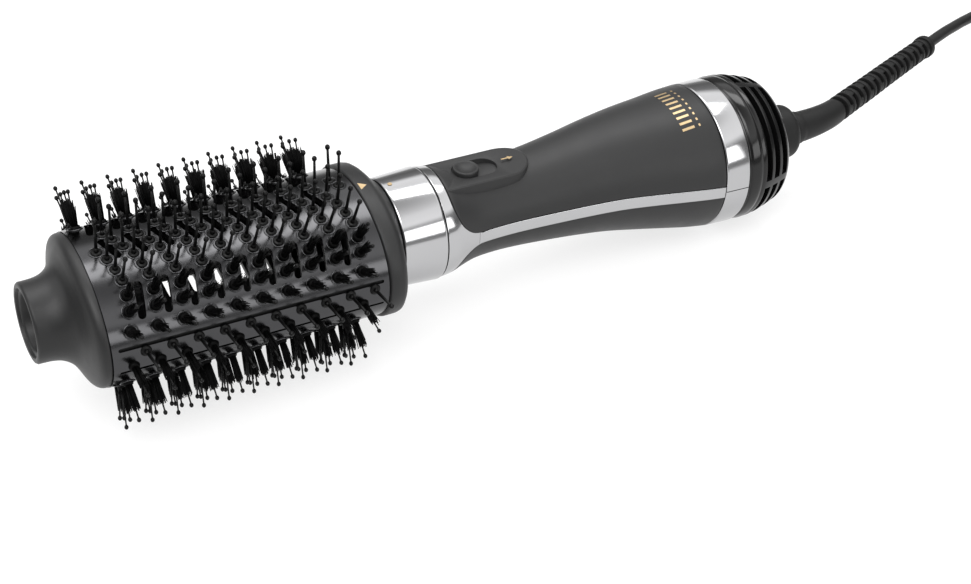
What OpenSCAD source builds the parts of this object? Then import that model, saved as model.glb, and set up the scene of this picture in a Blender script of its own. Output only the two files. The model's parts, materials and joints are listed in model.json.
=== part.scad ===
// Hot air brush: a handle with a blower and heater, a detachable oval bristle head and a corded plug.
// The tool lies on its bristles and its rear lip, with the nose towards -X and the cord towards +X.

/* [Bristle head] */
// Half width of the oval barrel
barrel_a = 34.3; // [30:0.1:38]
// Half height of the oval barrel
barrel_b = 25.6; // [23:0.1:28]
// Thickness of the barrel sheet
sheet_t = 0.8; // [0.6:0.1:1.2]
// Length of the nose cap, from its rim to the barrel
nose_len = 21.4; // [20:0.1:24]
// Length of the barrel sheet
barrel_len = 107.8; // [106:0.1:112]
// Radius of the round nose
nose_r = 15.4; // [14:0.1:16.5]
// Radius of the blind recess in the nose
recess_r = 11; // [9:0.5:12]
// Depth of the blind recess in the nose
recess_depth = 12; // [8:0.5:13]
// Length of the oval flange behind the barrel
flange_len = 12.1; // [11:0.1:14]
// How far the head sits turned in its lock
head_roll = 5; // [0:1:8]

/* [Bristles] */
// Distance between neighbouring bristle columns
pitch = 9.93; // [9.6:0.01:10.1]
// Number of bristle columns
columns = 10; // [8:1:10]
// Height of a pin above the barrel
pin_len = 15.6; // [14:0.1:16]
// Radius of a pin
pin_r = 0.65; // [0.5:0.05:0.9]
// Radius of a pin's ball tip
pin_ball_r = 1; // [0.8:0.1:1.2]
// Height of a tuft above the barrel
tuft_len = 13; // [10:0.5:14]
// Radius of a tuft at its root
tuft_root_r = 1.3; // [1:0.1:1.6]
// Radius of a tuft at its tip
tuft_tip_r = 2.6; // [1.5:0.1:3.2]
// Width of the air slots
slot_w = 3; // [2:0.1:3.2]

/* [Handle] */
// Radius of the lock collar at its front edge
collar_r = 22; // [21.5:0.1:22.5]
// Length of the lock collar
collar_len = 18.4; // [16:0.1:19]
// Length of the handle shells, from the collar to the rear ring
shell_len = 124.1; // [122:0.1:126]
// Wall of the handle shells
shell_t = 2.2; // [1.8:0.1:2.6]
// Radius of the rear trim ring
ring_r = 30.9; // [30:0.1:31.5]
// Length of the rear trim ring
ring_len = 11.2; // [9:0.1:12]
// Length of the air inlet cap
inlet_len = 24.6; // [22:0.1:27]
// Radius of the swivel gland
gland_r = 11.8; // [10:0.1:13]
// Length of the swivel gland that shows
gland_len = 16.1; // [12:0.1:18]

/* [Controls] */
// Radius of the switch knob
knob_r = 5.2; // [4.5:0.1:5.3]
// Travel of the switch knob
knob_travel = 7.6; // [6:0.1:8]

/* [Cord] */
// Diameter of the cord
cord_d = 5.2; // [5:0.1:5.4]
// Turns in one layer of the coil
coil_wide = 3; // [2:1:3]
// Layers in the coil
coil_high = 4; // [3:1:4]

/* [Hidden] */

$fn = 48;
eps = 0.02;
// Facets of the large turned pieces
round_fn = 64;
// Slope of the tool as it lies, nose up
lie_tilt = 3.3;
// Smallest gap between pieces that move on each other
gap = 0.3;

// Places along the tool's own axis, from the nose rim to the rear
x_sheet0 = nose_len;
x_sheet1 = x_sheet0 + barrel_len;
x_flange1 = x_sheet1 + flange_len;
x_collar1 = x_flange1 + collar_len;
x_shell0 = x_collar1 + gap;
x_ring0 = x_shell0 + shell_len - gap;
x_ring1 = x_ring0 + ring_len;
x_inlet1 = x_ring1 + inlet_len;
x_gland1 = x_inlet1 + gland_len;

// The tool rests on the lower rear lip and on the lowest pin balls
lip_x = x_ring1 + 8;
lip_r = 31;
axis_h = lip_x * sin(lie_tilt) + lip_r * cos(lie_tilt);
axis_mid = (x_gland1 * cos(lie_tilt) + gland_r * sin(lie_tilt) - nose_r * sin(lie_tilt)) / 2;

module lie() {
  translate([-axis_mid, 0, axis_h]) rotate([0, lie_tilt, 0]) children();
}
module roll() {
  lie() rotate([head_roll, 0, 0]) children();
}
// Turns a profile drawn as [distance along the axis, radius] round the tool's axis
module turned(angle = 360, from = 0) {
  rotate([from, 0, 0]) rotate([90, 0, 90]) rotate_extrude(angle = angle, $fn = round_fn) rotate([0, 0, 90])
    mirror([0, 1, 0]) children();
}
module disc(x, r, len) {
  translate([x, 0, 0]) rotate([0, 90, 0]) cylinder(h = len, r = r);
}
module tube(x, r, r_in, len) {
  difference() {
    disc(x, r, len);
    disc(x - 1, r_in, len + 2);
  }
}

// A solid through rings of equal point counts; a C-shaped ring has its ends split into strips
module loft(rings, c_shaped = false) {
  n = len(rings[0]);
  m = len(rings);
  points = [for (ring = rings) each ring];
  sides = [for (j = [0 : m - 2]) for (i = [0 : n - 1])
    [j * n + i, (j + 1) * n + i, (j + 1) * n + (i + 1) % n, j * n + (i + 1) % n]];
  strips = [for (i = [0 : n / 2 - 2]) [i, i + 1, n - 2 - i, n - 1 - i]];
  front = c_shaped ? strips : [[for (i = [0 : n - 1]) i]];
  back = [for (f = front) [for (i = [len(f) - 1 : -1 : 0]) (m - 1) * n + f[i]]];
  polyhedron(points, concat(front, sides, back), convexity = 8);
}
function oval_outline(a, b, n = 72) = [for (i = [0 : n - 1]) [a * cos(i * 360 / n), b * sin(i * 360 / n)]];
function oval_ring(x, a, b) = [for (p = oval_outline(a, b, 48)) [x, p[0], p[1]]];

// ---- Bristle head ----

// Distance along the axis, half width and half height of the nose cap
NOSE = [[0, nose_r - 0.9, nose_r - 0.9], [0.9, nose_r, nose_r], [6, nose_r + 0.1, nose_r],
        [10, nose_r + 1.4, nose_r + 0.6], [13.5, nose_r + 5, nose_r + 2.6], [16, 27, 21.6],
        [17.6, 31.2, 24], [19, 32.9, 25.1], [20.4, 33.6, 25.5], [nose_len, 33.7, 25.6]];
module nose_cap() {
  color("#2b2b2d") roll() difference() {
    loft([for (s = NOSE) oval_ring(s[0], s[1], s[2])]);
    disc(-1, recess_r, recess_depth + 1);
  }
}

// Moves its children to the oval of half axes a, b at parameter angle t, with +Z along the normal
module on_oval(x, t, a, b) {
  psi = atan2(a * sin(t), b * cos(t));
  translate([x, a * cos(t), b * sin(t)]) rotate([psi - 90, 0, 0]) children();
}
module on_barrel(x, t) {
  on_oval(x, t, barrel_a, barrel_b) children();
}
// Place of a row's column k; the rows on the far underside stand half a pitch further on
function column(x0, t, k, side) = x0 + pitch * (k + (side > 0 && t > 100 && t < 160 ? 0.5 : 0));

// Air slots: first column, angle and place of each end; the pattern repeats half a turn on
SLOTS = [[30.6, 79.5, 34.7, 99.5], [36.9, 119, 34.7, 145.4], [31.9, 46, 29.2, 72]];
module slot_cutter(s) {
  t = (s[1] + s[3]) / 2;
  rim = sqrt(pow(barrel_a * sin(t), 2) + pow(barrel_b * cos(t), 2));
  arc = rim * (s[3] - s[1]) * PI / 180;
  run = s[2] - s[0];
  length = sqrt(arc * arc + run * run) - slot_w;
  depth = 16;
  on_barrel((s[0] + s[2]) / 2, t) rotate([0, 0, atan2(-arc, run)]) translate([0, 0, -depth / 2]) {
    translate([-length / 2, -slot_w / 2, 0]) cube([length, slot_w, depth]);
    for (end = [-1, 1]) translate([end * length / 2, 0, 0]) cylinder(h = depth, r = slot_w / 2, $fn = 24);
  }
}
module all_slots() {
  for (side = [0, 180]) for (s = SLOTS) for (k = [0 : columns - 2])
    translate([column(0, s[1], k, side), 0, 0]) rotate([side, 0, 0]) slot_cutter(s);
}
module oval_tube(x, length, a, b, wall) {
  translate([x, 0, 0]) rotate([90, 0, 90]) linear_extrude(length) difference() {
    polygon(oval_outline(a, b));
    polygon(oval_outline(a - wall, b - wall));
  }
}
module barrel_sheet() {
  color("#1d1d20") roll() difference() {
    oval_tube(x_sheet0 + eps, barrel_len - 2 * eps, barrel_a, barrel_b, sheet_t);
    all_slots();
  }
}
core_a = barrel_a - sheet_t - 0.05;
core_b = barrel_b - sheet_t - 0.05;
core_t = 1.6;
module core_half(side) {
  roll() difference() {
    oval_tube(x_sheet0 + 0.1, barrel_len - 0.2, core_a, core_b, core_t);
    all_slots();
    translate([0, -50, side > 0 ? -100 : -0.02]) cube([200, 100, 100.02]);
  }
}
module bristle_core_top() {
  color("#111112") core_half(1);
}
module bristle_core_bottom() {
  color("#111112") core_half(-1);
}

// First column and angle of each row of pins
PIN_ROWS = [[32.9, 75], [25 + pitch, 82.5], [27.5, 90.8], [29.9, 98.7], [31.1, 107.5], [32, 115.9],
            [33.7, 170]];
module pin() {
  root_h = 0.8;
  cylinder(h = root_h, r = 2 * pin_r, $fn = 16);
  cylinder(h = pin_len - pin_ball_r, r = pin_r, $fn = 16);
  translate([0, 0, pin_len - pin_ball_r]) sphere(r = pin_ball_r, $fn = 16);
}
module pin_field(side) {
  color("#0e0e0f") roll() rotate([side, 0, 0]) for (row = PIN_ROWS) for (k = [0 : columns - 1]) {
    x = column(row[0], row[1], k, side);
    if (x < x_sheet1 - 3) on_barrel(x, row[1]) translate([0, 0, eps]) pin();
  }
}
module pins_top() {
  pin_field(0);
}
module pins_bottom() {
  pin_field(180);
}

// First column and angle of each row of tufts
NEAR_TUFTS = [[31.8, 127], [30.7, 138], [29.6, 152.2], [28.9, 182]];
FAR_TUFTS = [[26.4, 53], [26.6, 42], [27.4, 27.8]];
module tuft() {
  cylinder(h = tuft_len, r1 = tuft_root_r, r2 = tuft_tip_r, $fn = 16);
}
module tuft_field(rows, side) {
  color("#0c0c0d") roll() rotate([side, 0, 0]) for (row = rows) for (k = [0 : columns - 1])
    on_barrel(column(row[0], row[1], k, side), row[1]) translate([0, 0, eps]) tuft();
}
module tufts_near_top() {
  tuft_field(NEAR_TUFTS, 0);
}
module tufts_far_top() {
  tuft_field(FAR_TUFTS, 0);
}
module tufts_near_bottom() {
  tuft_field(FAR_TUFTS, 180);
}
module tufts_far_bottom() {
  tuft_field(NEAR_TUFTS, 180);
}

flange_a = 35.7;
flange_b = 26.4;
duct_r = 15.5;
// Distance along the axis, half width and half height of the flange
FLANGE = [[0, flange_a - 0.7, flange_b - 0.7], [0.7, flange_a, flange_b], [5.6, flange_a, flange_b],
          [7.6, 34.4, 25.8], [9.6, 30, 23.6], [11.2, 24.4, 21.9], [12, 21.4, 21]];
module rear_flange() {
  color("#2b2b2d") roll() difference() {
    loft([for (s = FLANGE) oval_ring(x_sheet1 + eps + s[0], s[1], s[2])]);
    disc(x_sheet1 - 1, duct_r, flange_len + 2);
  }
}
spigot_r = 18.6;
spigot_len = 15;
module spigot() {
  notches = 3;
  color("#242426") roll() difference() {
    union() {
      tube(x_flange1, spigot_r, duct_r, spigot_len);
      tube(x_flange1, spigot_r + 0.6, duct_r, 2);
    }
    for (k = [0 : notches - 1]) rotate([60 + 120 * k, 0, 0])
      translate([x_flange1 + 8, -4, duct_r - 2]) cube([spigot_len, 8, 6]);
  }
}
// Cone and legs that spread the air inside the barrel
module air_spreader() {
  legs = 3;
  color("#3a3a3c") roll() {
    translate([x_sheet0 + 0.2, 0, 0]) rotate([0, 90, 0]) cylinder(h = 28, r1 = 10, r2 = 2);
    translate([x_sheet0 + 0.2, 0, 0]) rotate([0, 90, 0]) cylinder(h = 2, r = 14);
    for (k = [0 : legs - 1]) rotate([30 + 120 * k, 0, 0])
      translate([x_sheet0 + 1, -0.8, 11]) cube([barrel_len - 1.2, 1.6, 2.4]);
    tube(x_sheet1 - 4, 15.2, 13.2, 3.8);
  }
}

// ---- Lock and handle front ----

collar_in = spigot_r + 1.6;
module lock_collar() {
  color("#d8d8da") lie() difference() {
    turned() polygon([[x_flange1 + gap, collar_in], [x_flange1 + gap, collar_r - 0.6],
      [x_flange1 + gap + 0.6, collar_r], [x_collar1 - 0.5, collar_r + 1], [x_collar1, collar_r + 0.6],
      [x_collar1, collar_in]]);
  }
}
// Sleeve of the handle inside the collar, which takes the spigot
module head_socket() {
  color("#1c1c1e") lie() {
    tube(x_flange1 + 2.6, collar_in - 0.1, spigot_r + 0.1, collar_len - 2.3);
    tube(x_collar1 + gap, 19.5, 15.9, 3);
  }
}

// Distance along the axis, radius and lift of the middle of the handle
HANDLE = [[0, 22.6, 0], [5, 22, 0], [10, 20.4, 0], [17, 18.8, 0.1], [26, 18.3, 0.2], [36, 18.7, 0.5],
          [50, 19.9, 0.9], [64, 21.6, 1.5], [78, 23.7, 2], [92, 26, 1.7], [106, 28.1, 0.9], [116, 29.6, 0.4],
          [shell_len - gap, 30.4, 0]];
HANDLE_R = [for (s = HANDLE) [s[0], s[1]]];
HANDLE_LIFT = [for (s = HANDLE) [s[0], s[2]]];
function on_handle(x, q, lift = 0) = let (r = lookup(x, HANDLE_R) + lift)
  [x_shell0 + x, r * cos(q), lookup(x, HANDLE_LIFT) + r * sin(q)];
arc_steps = 32;
seam = 0.15;
strip_half = 2.6;
strip_proud = 0.25;
// Rear edge of the yoke cap at an angle: swept back to the strips at the sides, short above and below
function yoke_edge(q) = let (away = 90 - abs(q % 180 - 90), share = min(1, max(0, (away - 8) / 54)))
  17.5 - 12.9 * pow(1 - pow(1 - share, 2.6), 0.55);
// One C-shaped ring of the handle's wall at x; u blends its place from the yoke's edge to x
function wall_ring(x, from, to, lift = 0, u = 1) = let (
    q = [for (i = [0 : arc_steps]) from + (to - from) * i / arc_steps],
    at = [for (angle = q) (1 - u) * (yoke_edge(angle) + seam) + u * x])
  concat([for (i = [0 : arc_steps]) on_handle(at[i], q[i], lift)],
         [for (i = [arc_steps : -1 : 0]) on_handle(at[i], q[i], -shell_t)]);
// Half of the angle that a strip of a half width covers at x
function strip_angle(x, half) = asin(half / lookup(x, HANDLE_R));
function behind(x0) = [for (s = HANDLE) if (s[0] > x0) s[0]];
module shell_wall(side) {
  x0 = 22;
  edge = strip_half + seam;
  function ring(x, u) = let (h = strip_angle(x, edge)) wall_ring(x, side + h, side + 180 - h, 0, u);
  loft(concat([ring(x0, 0), ring(x0, 0.4), ring(x0, 0.75)], [for (x = behind(x0)) ring(x, 1)]), true);
}

pad_half = 10.5;
pad_top = 21.2;
pad_x0 = x_shell0 + 5.3;
pad_x1 = x_shell0 + 43.8;
knob_x = x_shell0 + 17.4;
well_r = knob_r + 0.3;
well_floor = pad_top - 3.4;
pad_bottom = 14.5;
// An outline with one round end, or two
module slot_outline(x0, x1, r, both = true) {
  translate([x0, -r]) square([x1 - x0, 2 * r]);
  translate([x1, 0]) circle(r = r);
  if (both) translate([x0, 0]) circle(r = r);
}
module top_shell() {
  stem_half = 1.6;
  color("#343436") lie() difference() {
    union() {
      shell_wall(0);
      translate([0, 0, pad_bottom]) linear_extrude(pad_top - pad_bottom)
        slot_outline(pad_x0, pad_x1 - pad_half, pad_half, false);
    }
    translate([0, 0, well_floor]) linear_extrude(10) slot_outline(knob_x, knob_x + knob_travel, well_r);
    translate([knob_x - 2, -stem_half, 0]) cube([knob_travel + 4, 2 * stem_half, 30]);
  }
}
module bottom_shell() {
  color("#343436") lie() shell_wall(180);
}
// Chrome cap with an arm along each side of the handle
module front_yoke() {
  around = 72;
  shares = [0, 0.3, 0.65, 1];
  m = 2 * len(shares);
  points = [for (k = [0 : around - 1]) let (q = 360 * k / around, end = yoke_edge(q)) each concat(
    [for (u = shares) on_handle(u * end, q)],
    [for (i = [m / 2 - 1 : -1 : 0]) on_handle(shares[i] * end, q, -shell_t)])];
  faces = [for (k = [0 : around - 1]) for (i = [0 : m - 1])
    let (next = (k + 1) % around * m, on = (i + 1) % m) [k * m + i, k * m + on, next + on, next + i]];
  color("#d2d2d5") lie() {
    polyhedron(points, faces, convexity = 8);
    for (side = [0, 180]) loft([for (x = concat([13], behind(16))) let (h = strip_angle(x, strip_half))
      wall_ring(x, side - h, side + h, strip_proud)], true);
  }
}
module switch_knob() {
  stem_h = 5.4;
  color("#262628") lie() translate([knob_x, 0, 0]) {
    translate([0, 0, well_floor + gap]) difference() {
      cylinder(h = pad_top - well_floor + 0.5, r = knob_r);
      translate([0, 0, pad_top - well_floor + 12.4]) sphere(r = 12.8, $fn = 64);
    }
    translate([-1.3, -1.3, well_floor + gap - stem_h]) cube([2.6, 2.6, stem_h]);
  }
}
module slide_switch() {
  top = well_floor + gap - 5.6;
  color("#7a4a2a") lie() translate([knob_x - 3, -4, top - 6]) cube([knob_travel + 7, 8, 6]);
}

// ---- Inside the handle ----

heater_x0 = x_shell0 + 30;
heater_len = 48;
module heater_tube() {
  color("#c9b98a") lie() {
    tube(heater_x0, 10.6, 10, heater_len);
    tube(heater_x0, 13.6, 10.6, 1.6);
  }
}
module heater_frame() {
  color("#d8cba4") lie() {
    translate([heater_x0 + 2, -9.6, -0.4]) cube([heater_len - 6, 19.2, 0.8]);
    for (side = [0, 180]) rotate([side, 0, 0])
      translate([heater_x0 + 2, -0.4, 0.45]) cube([heater_len - 6, 0.8, 9]);
  }
}
// Rings of resistance wire round the crossed boards
module heater_coils() {
  turns = 9;
  coil_pitch = 4.6;
  color("#b8763c") lie() for (k = [0 : turns - 1]) for (q = [0 : 3])
    rotate([90 * q, 0, 0]) translate([heater_x0 + 4 + coil_pitch * k, 4.2, 4.2]) rotate([0, 90, 0])
      difference() {
        cylinder(h = 1.2, r = 2.6, $fn = 24);
        translate([0, 0, -1]) cylinder(h = 4, r = 1.6, $fn = 24);
      }
}
module thermal_cutoff() {
  color("#bdbdc0") lie() disc(heater_x0 + heater_len + 2, 5, 4);
}
module ion_emitter() {
  color("#e6e6e6") lie() {
    translate([heater_x0 + heater_len + 2, -18, -5]) cube([10, 7, 9]);
    translate([heater_x0 + heater_len - 6, -14, 0]) rotate([0, 90, 0]) cylinder(h = 8, r = 0.8, $fn = 24);
  }
}
module circuit_board() {
  color("#2e6b3c") lie() {
    translate([x_shell0 + 46, -9, 11.8]) cube([34, 18, 1.4]);
    translate([x_shell0 + 52, -5, 13.2]) cube([8, 10, 3]);
    translate([x_shell0 + 68, 0, 13.2]) cylinder(h = 5, r = 3);
  }
}
motor_x = x_ring0 - 18;
motor_len = 26;
motor_r = 13.6;
shaft_r = 1.15;
module motor() {
  color("#9a9a9c") lie() tube(motor_x, motor_r, shaft_r + 0.05, motor_len);
}
module motor_mount() {
  spokes = 3;
  color("#3c3c3e") lie() {
    tube(motor_x + 2, 15.6, motor_r + 0.02, 18);
    for (k = [0 : spokes - 1]) rotate([90 + 120 * k, 0, 0])
      translate([motor_x + 12, -1.2, 15.5]) cube([6, 2.4, 9.6]);
    tube(motor_x + 12, 26.4, 25, 6);
  }
}
impeller_x = motor_x - 12;
module impeller() {
  blades = 9;
  hub_r = 7;
  color("#5a5a5e") lie() {
    tube(impeller_x, hub_r, shaft_r, 9);
    for (k = [0 : blades - 1]) rotate([360 * k / blades, 0, 0])
      translate([impeller_x + 4.5, 0, hub_r - 0.6]) rotate([0, 0, 55])
        translate([-4.6, -0.5, 0]) cube([9.2, 1, 13.6]);
  }
}
module motor_shaft() {
  color("#c4c4c6") lie() disc(impeller_x - 2, shaft_r, motor_len + 18);
}

// ---- Rear of the handle ----

module ring_half(from) {
  turned(179.4, from + 0.3) polygon([[x_ring0 + 0.1, ring_r - 3], [x_ring0 + 0.1, ring_r - 0.8],
    [x_ring0 + 0.7, ring_r - 0.2], [x_ring1 - 0.6, ring_r + 0.1], [x_ring1, ring_r - 0.4],
    [x_ring1, ring_r - 3]]);
}
module rear_ring_top() {
  color("#dcdcde") lie() ring_half(0);
}
module rear_ring_bottom() {
  color("#dcdcde") lie() ring_half(180);
}
// Middles of the rows of inlet slots, behind the ring
GRILLE_ROWS = [10, 14.6, 19.2];
grille_bays = 4;
module inlet_grille() {
  bridge = 7;
  slot = 3;
  color("#0c0c0d") lie() difference() {
    turned() polygon([[x_ring1 + 0.05, 25.6], [x_ring1 + 0.05, ring_r - 0.9], [x_ring1 + 1.5, ring_r - 0.3],
      [x_ring1 + 5, lip_r - 0.05], [x_ring1 + 8, lip_r], [x_ring1 + 12, 30.4], [x_ring1 + 16.6, 29.4],
      [x_ring1 + 20.6, 28.2], [x_ring1 + 22.4, 27.2], [x_ring1 + 23.9, 25.4], [x_inlet1, 22.5],
      [x_inlet1, gland_r - 3], [x_inlet1 - 2.4, gland_r - 3], [x_inlet1 - 2.4, 21.5], [x_inlet1 - 4.5, 24.6],
      [x_ring1 + 13, 27.2]]);
    for (x = GRILLE_ROWS) for (bay = [0 : grille_bays - 1])
      turned(360 / grille_bays - bridge, 3 + bridge / 2 + bay * 360 / grille_bays)
        translate([x_ring1 + x - slot / 2, 20]) square([slot, 14]);
  }
}
module inlet_filter() {
  color("#1a1a1b") lie() tube(x_ring1 + 3, 24.4, 23.6, inlet_len - 9);
}
// Places of the screws that hold the two shells: distance along the axis and side
SCREWS = [[x_shell0 + 62, 12.6], [x_shell0 + 62, -12.6], [x_ring0 - 12, 20], [x_ring0 - 12, -20]];
module shell_screws() {
  color("#b0b0b2") lie() for (s = SCREWS) translate([s[0], s[1], -7]) {
    cylinder(h = 14, r = 1.1, $fn = 24);
    translate([0, 0, -1.6]) cylinder(h = 1.6, r = 2.1, $fn = 24);
  }
}

// ---- Cord ----

// The gland turns in the inlet cap's rear hole
module swivel_gland() {
  neck_r = gland_r - 3.05;
  color("#232325") lie() {
    disc(x_inlet1 + 0.05, gland_r, gland_len - 0.05);
    disc(x_inlet1 - 2.6, neck_r, 3);
    disc(x_inlet1 - 4.4, neck_r + 2, 1.8);
  }
}
// Middle of the gland's rear face as the tool lies
gland_end = [x_gland1 * cos(lie_tilt) - axis_mid, 0, axis_h - x_gland1 * sin(lie_tilt)];
gland_dir = [cos(lie_tilt), 0, -sin(lie_tilt)];

// A point on a smooth curve through the route, u from 0 to the last index
function route_at(route, u) =
  let (i = min(floor(u), len(route) - 2), f = u - i,
    a = route[max(i - 1, 0)], b = route[i], c = route[i + 1], d = route[min(i + 2, len(route) - 1)])
  0.5 * (2 * b + (c - a) * f + (2 * a - 5 * b + 4 * c - d) * f * f + (3 * b - a - 3 * c + d) * f * f * f);
function unit(v) = v / norm(v);
// The rings of a tube along a route, r[0] at its start and r[1] at its end
function swept(route, r, rings, sides) = [for (j = [0 : rings - 1])
  let (u = j * (len(route) - 1) / (rings - 1),
    p = route_at(route, u),
    ahead = unit(route_at(route, min(u + 0.02, len(route) - 1)) - route_at(route, max(u - 0.02, 0))),
    side = unit(cross([0, 0, 1], ahead)),
    up = cross(ahead, side),
    radius = r[0] + (r[1] - r[0]) * j / (rings - 1))
  [for (i = [0 : sides - 1]) p + radius * (cos(i * 360 / sides) * side + sin(i * 360 / sides) * up)]];

cord_r = cord_d / 2;
// The relief leaves the gland straight, then bends towards +Y
RELIEF = [gland_end + 0.03 * gland_dir, [176, 0.4, 28.4], [185, 1.8, 27.6], [195, 5, 26.4], [210, 11.6, 25],
          [225, 18, 23.8], [240, 24.6, 22.6], [255, 31.2, 21.2], [277, 41, 19]];
module strain_relief() {
  color("#1c1c1e") loft(swept(RELIEF, [7.4, 4.8], 22, 20));
}
// The lead: out of the relief, down to the surface and along it to the coil
LEAD = [[277, 41, 19], [286, 45, 18.3], [296, 49.6, 17], [305, 54, 15], [315, 59, 12.6], [325, 64, 9.8],
        [336, 70, 6.6], [348, 77, 4], [360, 84, 2.8], [366, 87.6, 2.6], [372, 91, 2.6]];
coil_mid_r = 5.5 * cord_d;
coil_in = coil_mid_r - coil_wide * cord_d / 2;
coil_h = coil_high * cord_d;
COIL_AT = [390, 62.4, 0];
module cord_lead() {
  color("#141415") loft(swept(LEAD, [cord_r, cord_r], 36, 8));
}
module cord_coil() {
  color("#141415") translate(COIL_AT) rotate_extrude($fn = 48) translate([coil_in, 0])
    square([coil_wide * cord_d, coil_h]);
}
// From the coil's top turn down to the surface and to the plug
TAIL = [[423.8, 62, 18.2], [424, 50, 17.2], [423.4, 38, 13.6], [421, 26, 9], [416, 15, 5], [408, 5, 3],
        [398, -3, 2.6], [388, -8, 3.4], [378, -11, 6], [368, -12, 9.4]];
module cord_tail() {
  color("#141415") loft(swept(TAIL, [cord_r, cord_r], 36, 8));
}

plug_at = [352, -12, 0];
plug_size = [52, 36, 24];
plug_axis_h = 12;
module plug_relief() {
  color("#1c1c1e") loft(swept([[368, -12, 9.4], [363, -12, 10.8], [358, -12, 11.7], [352, -12, plug_axis_h]],
    [3.6, 6], 10, 16));
}
button_r = 3.6;
button_well = 3;
button_x = [16, 32];
// The plug lies flat with its blades towards the tool
module plug_place() {
  translate(plug_at) rotate([0, 0, 180]) children();
}
module plug_body() {
  edge = 3;
  color("#18181a") plug_place() difference() {
    translate([0, -plug_size.y / 2, 0]) hull() for (x = [edge, plug_size.x - edge])
      for (y = [edge, plug_size.y - edge]) translate([x, y, 0]) {
        translate([0, 0, edge]) cylinder(h = plug_size.z - 2 * edge, r = edge, $fn = 32);
        cylinder(h = plug_size.z, r = edge - 1.4, $fn = 32);
      }
    for (x = button_x) translate([x, 0, plug_size.z - button_well]) cylinder(h = 10, r = button_r + 0.15);
  }
}
module plug_blades() {
  color("#c9a54a") for (side = [-1, 1])
    plug_place() translate([plug_size.x + eps, side * 6.35 - 0.75, plug_axis_h - 3.2]) cube([17, 1.5, 6.4]);
}
module button(x, tint) {
  color(tint) plug_place() translate([x, 0, plug_size.z - button_well + 1.6])
    cylinder(h = button_well, r = button_r);
}
module test_button() {
  button(button_x[0], "#2c3f6e");
}
module reset_button() {
  button(button_x[1], "#8a1f1f");
}

nose_cap();
barrel_sheet();
bristle_core_top();
bristle_core_bottom();
pins_top();
pins_bottom();
tufts_near_top();
tufts_far_top();
tufts_near_bottom();
tufts_far_bottom();
rear_flange();
spigot();
air_spreader();
lock_collar();
front_yoke();
head_socket();
top_shell();
bottom_shell();
switch_knob();
slide_switch();
heater_tube();
heater_frame();
heater_coils();
thermal_cutoff();
ion_emitter();
circuit_board();
motor();
motor_mount();
impeller();
motor_shaft();
rear_ring_top();
rear_ring_bottom();
inlet_grille();
inlet_filter();
shell_screws();
swivel_gland();
strain_relief();
cord_lead();
cord_coil();
cord_tail();
plug_relief();
plug_body();
plug_blades();
test_button();
reset_button();
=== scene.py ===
import json
import math

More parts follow.
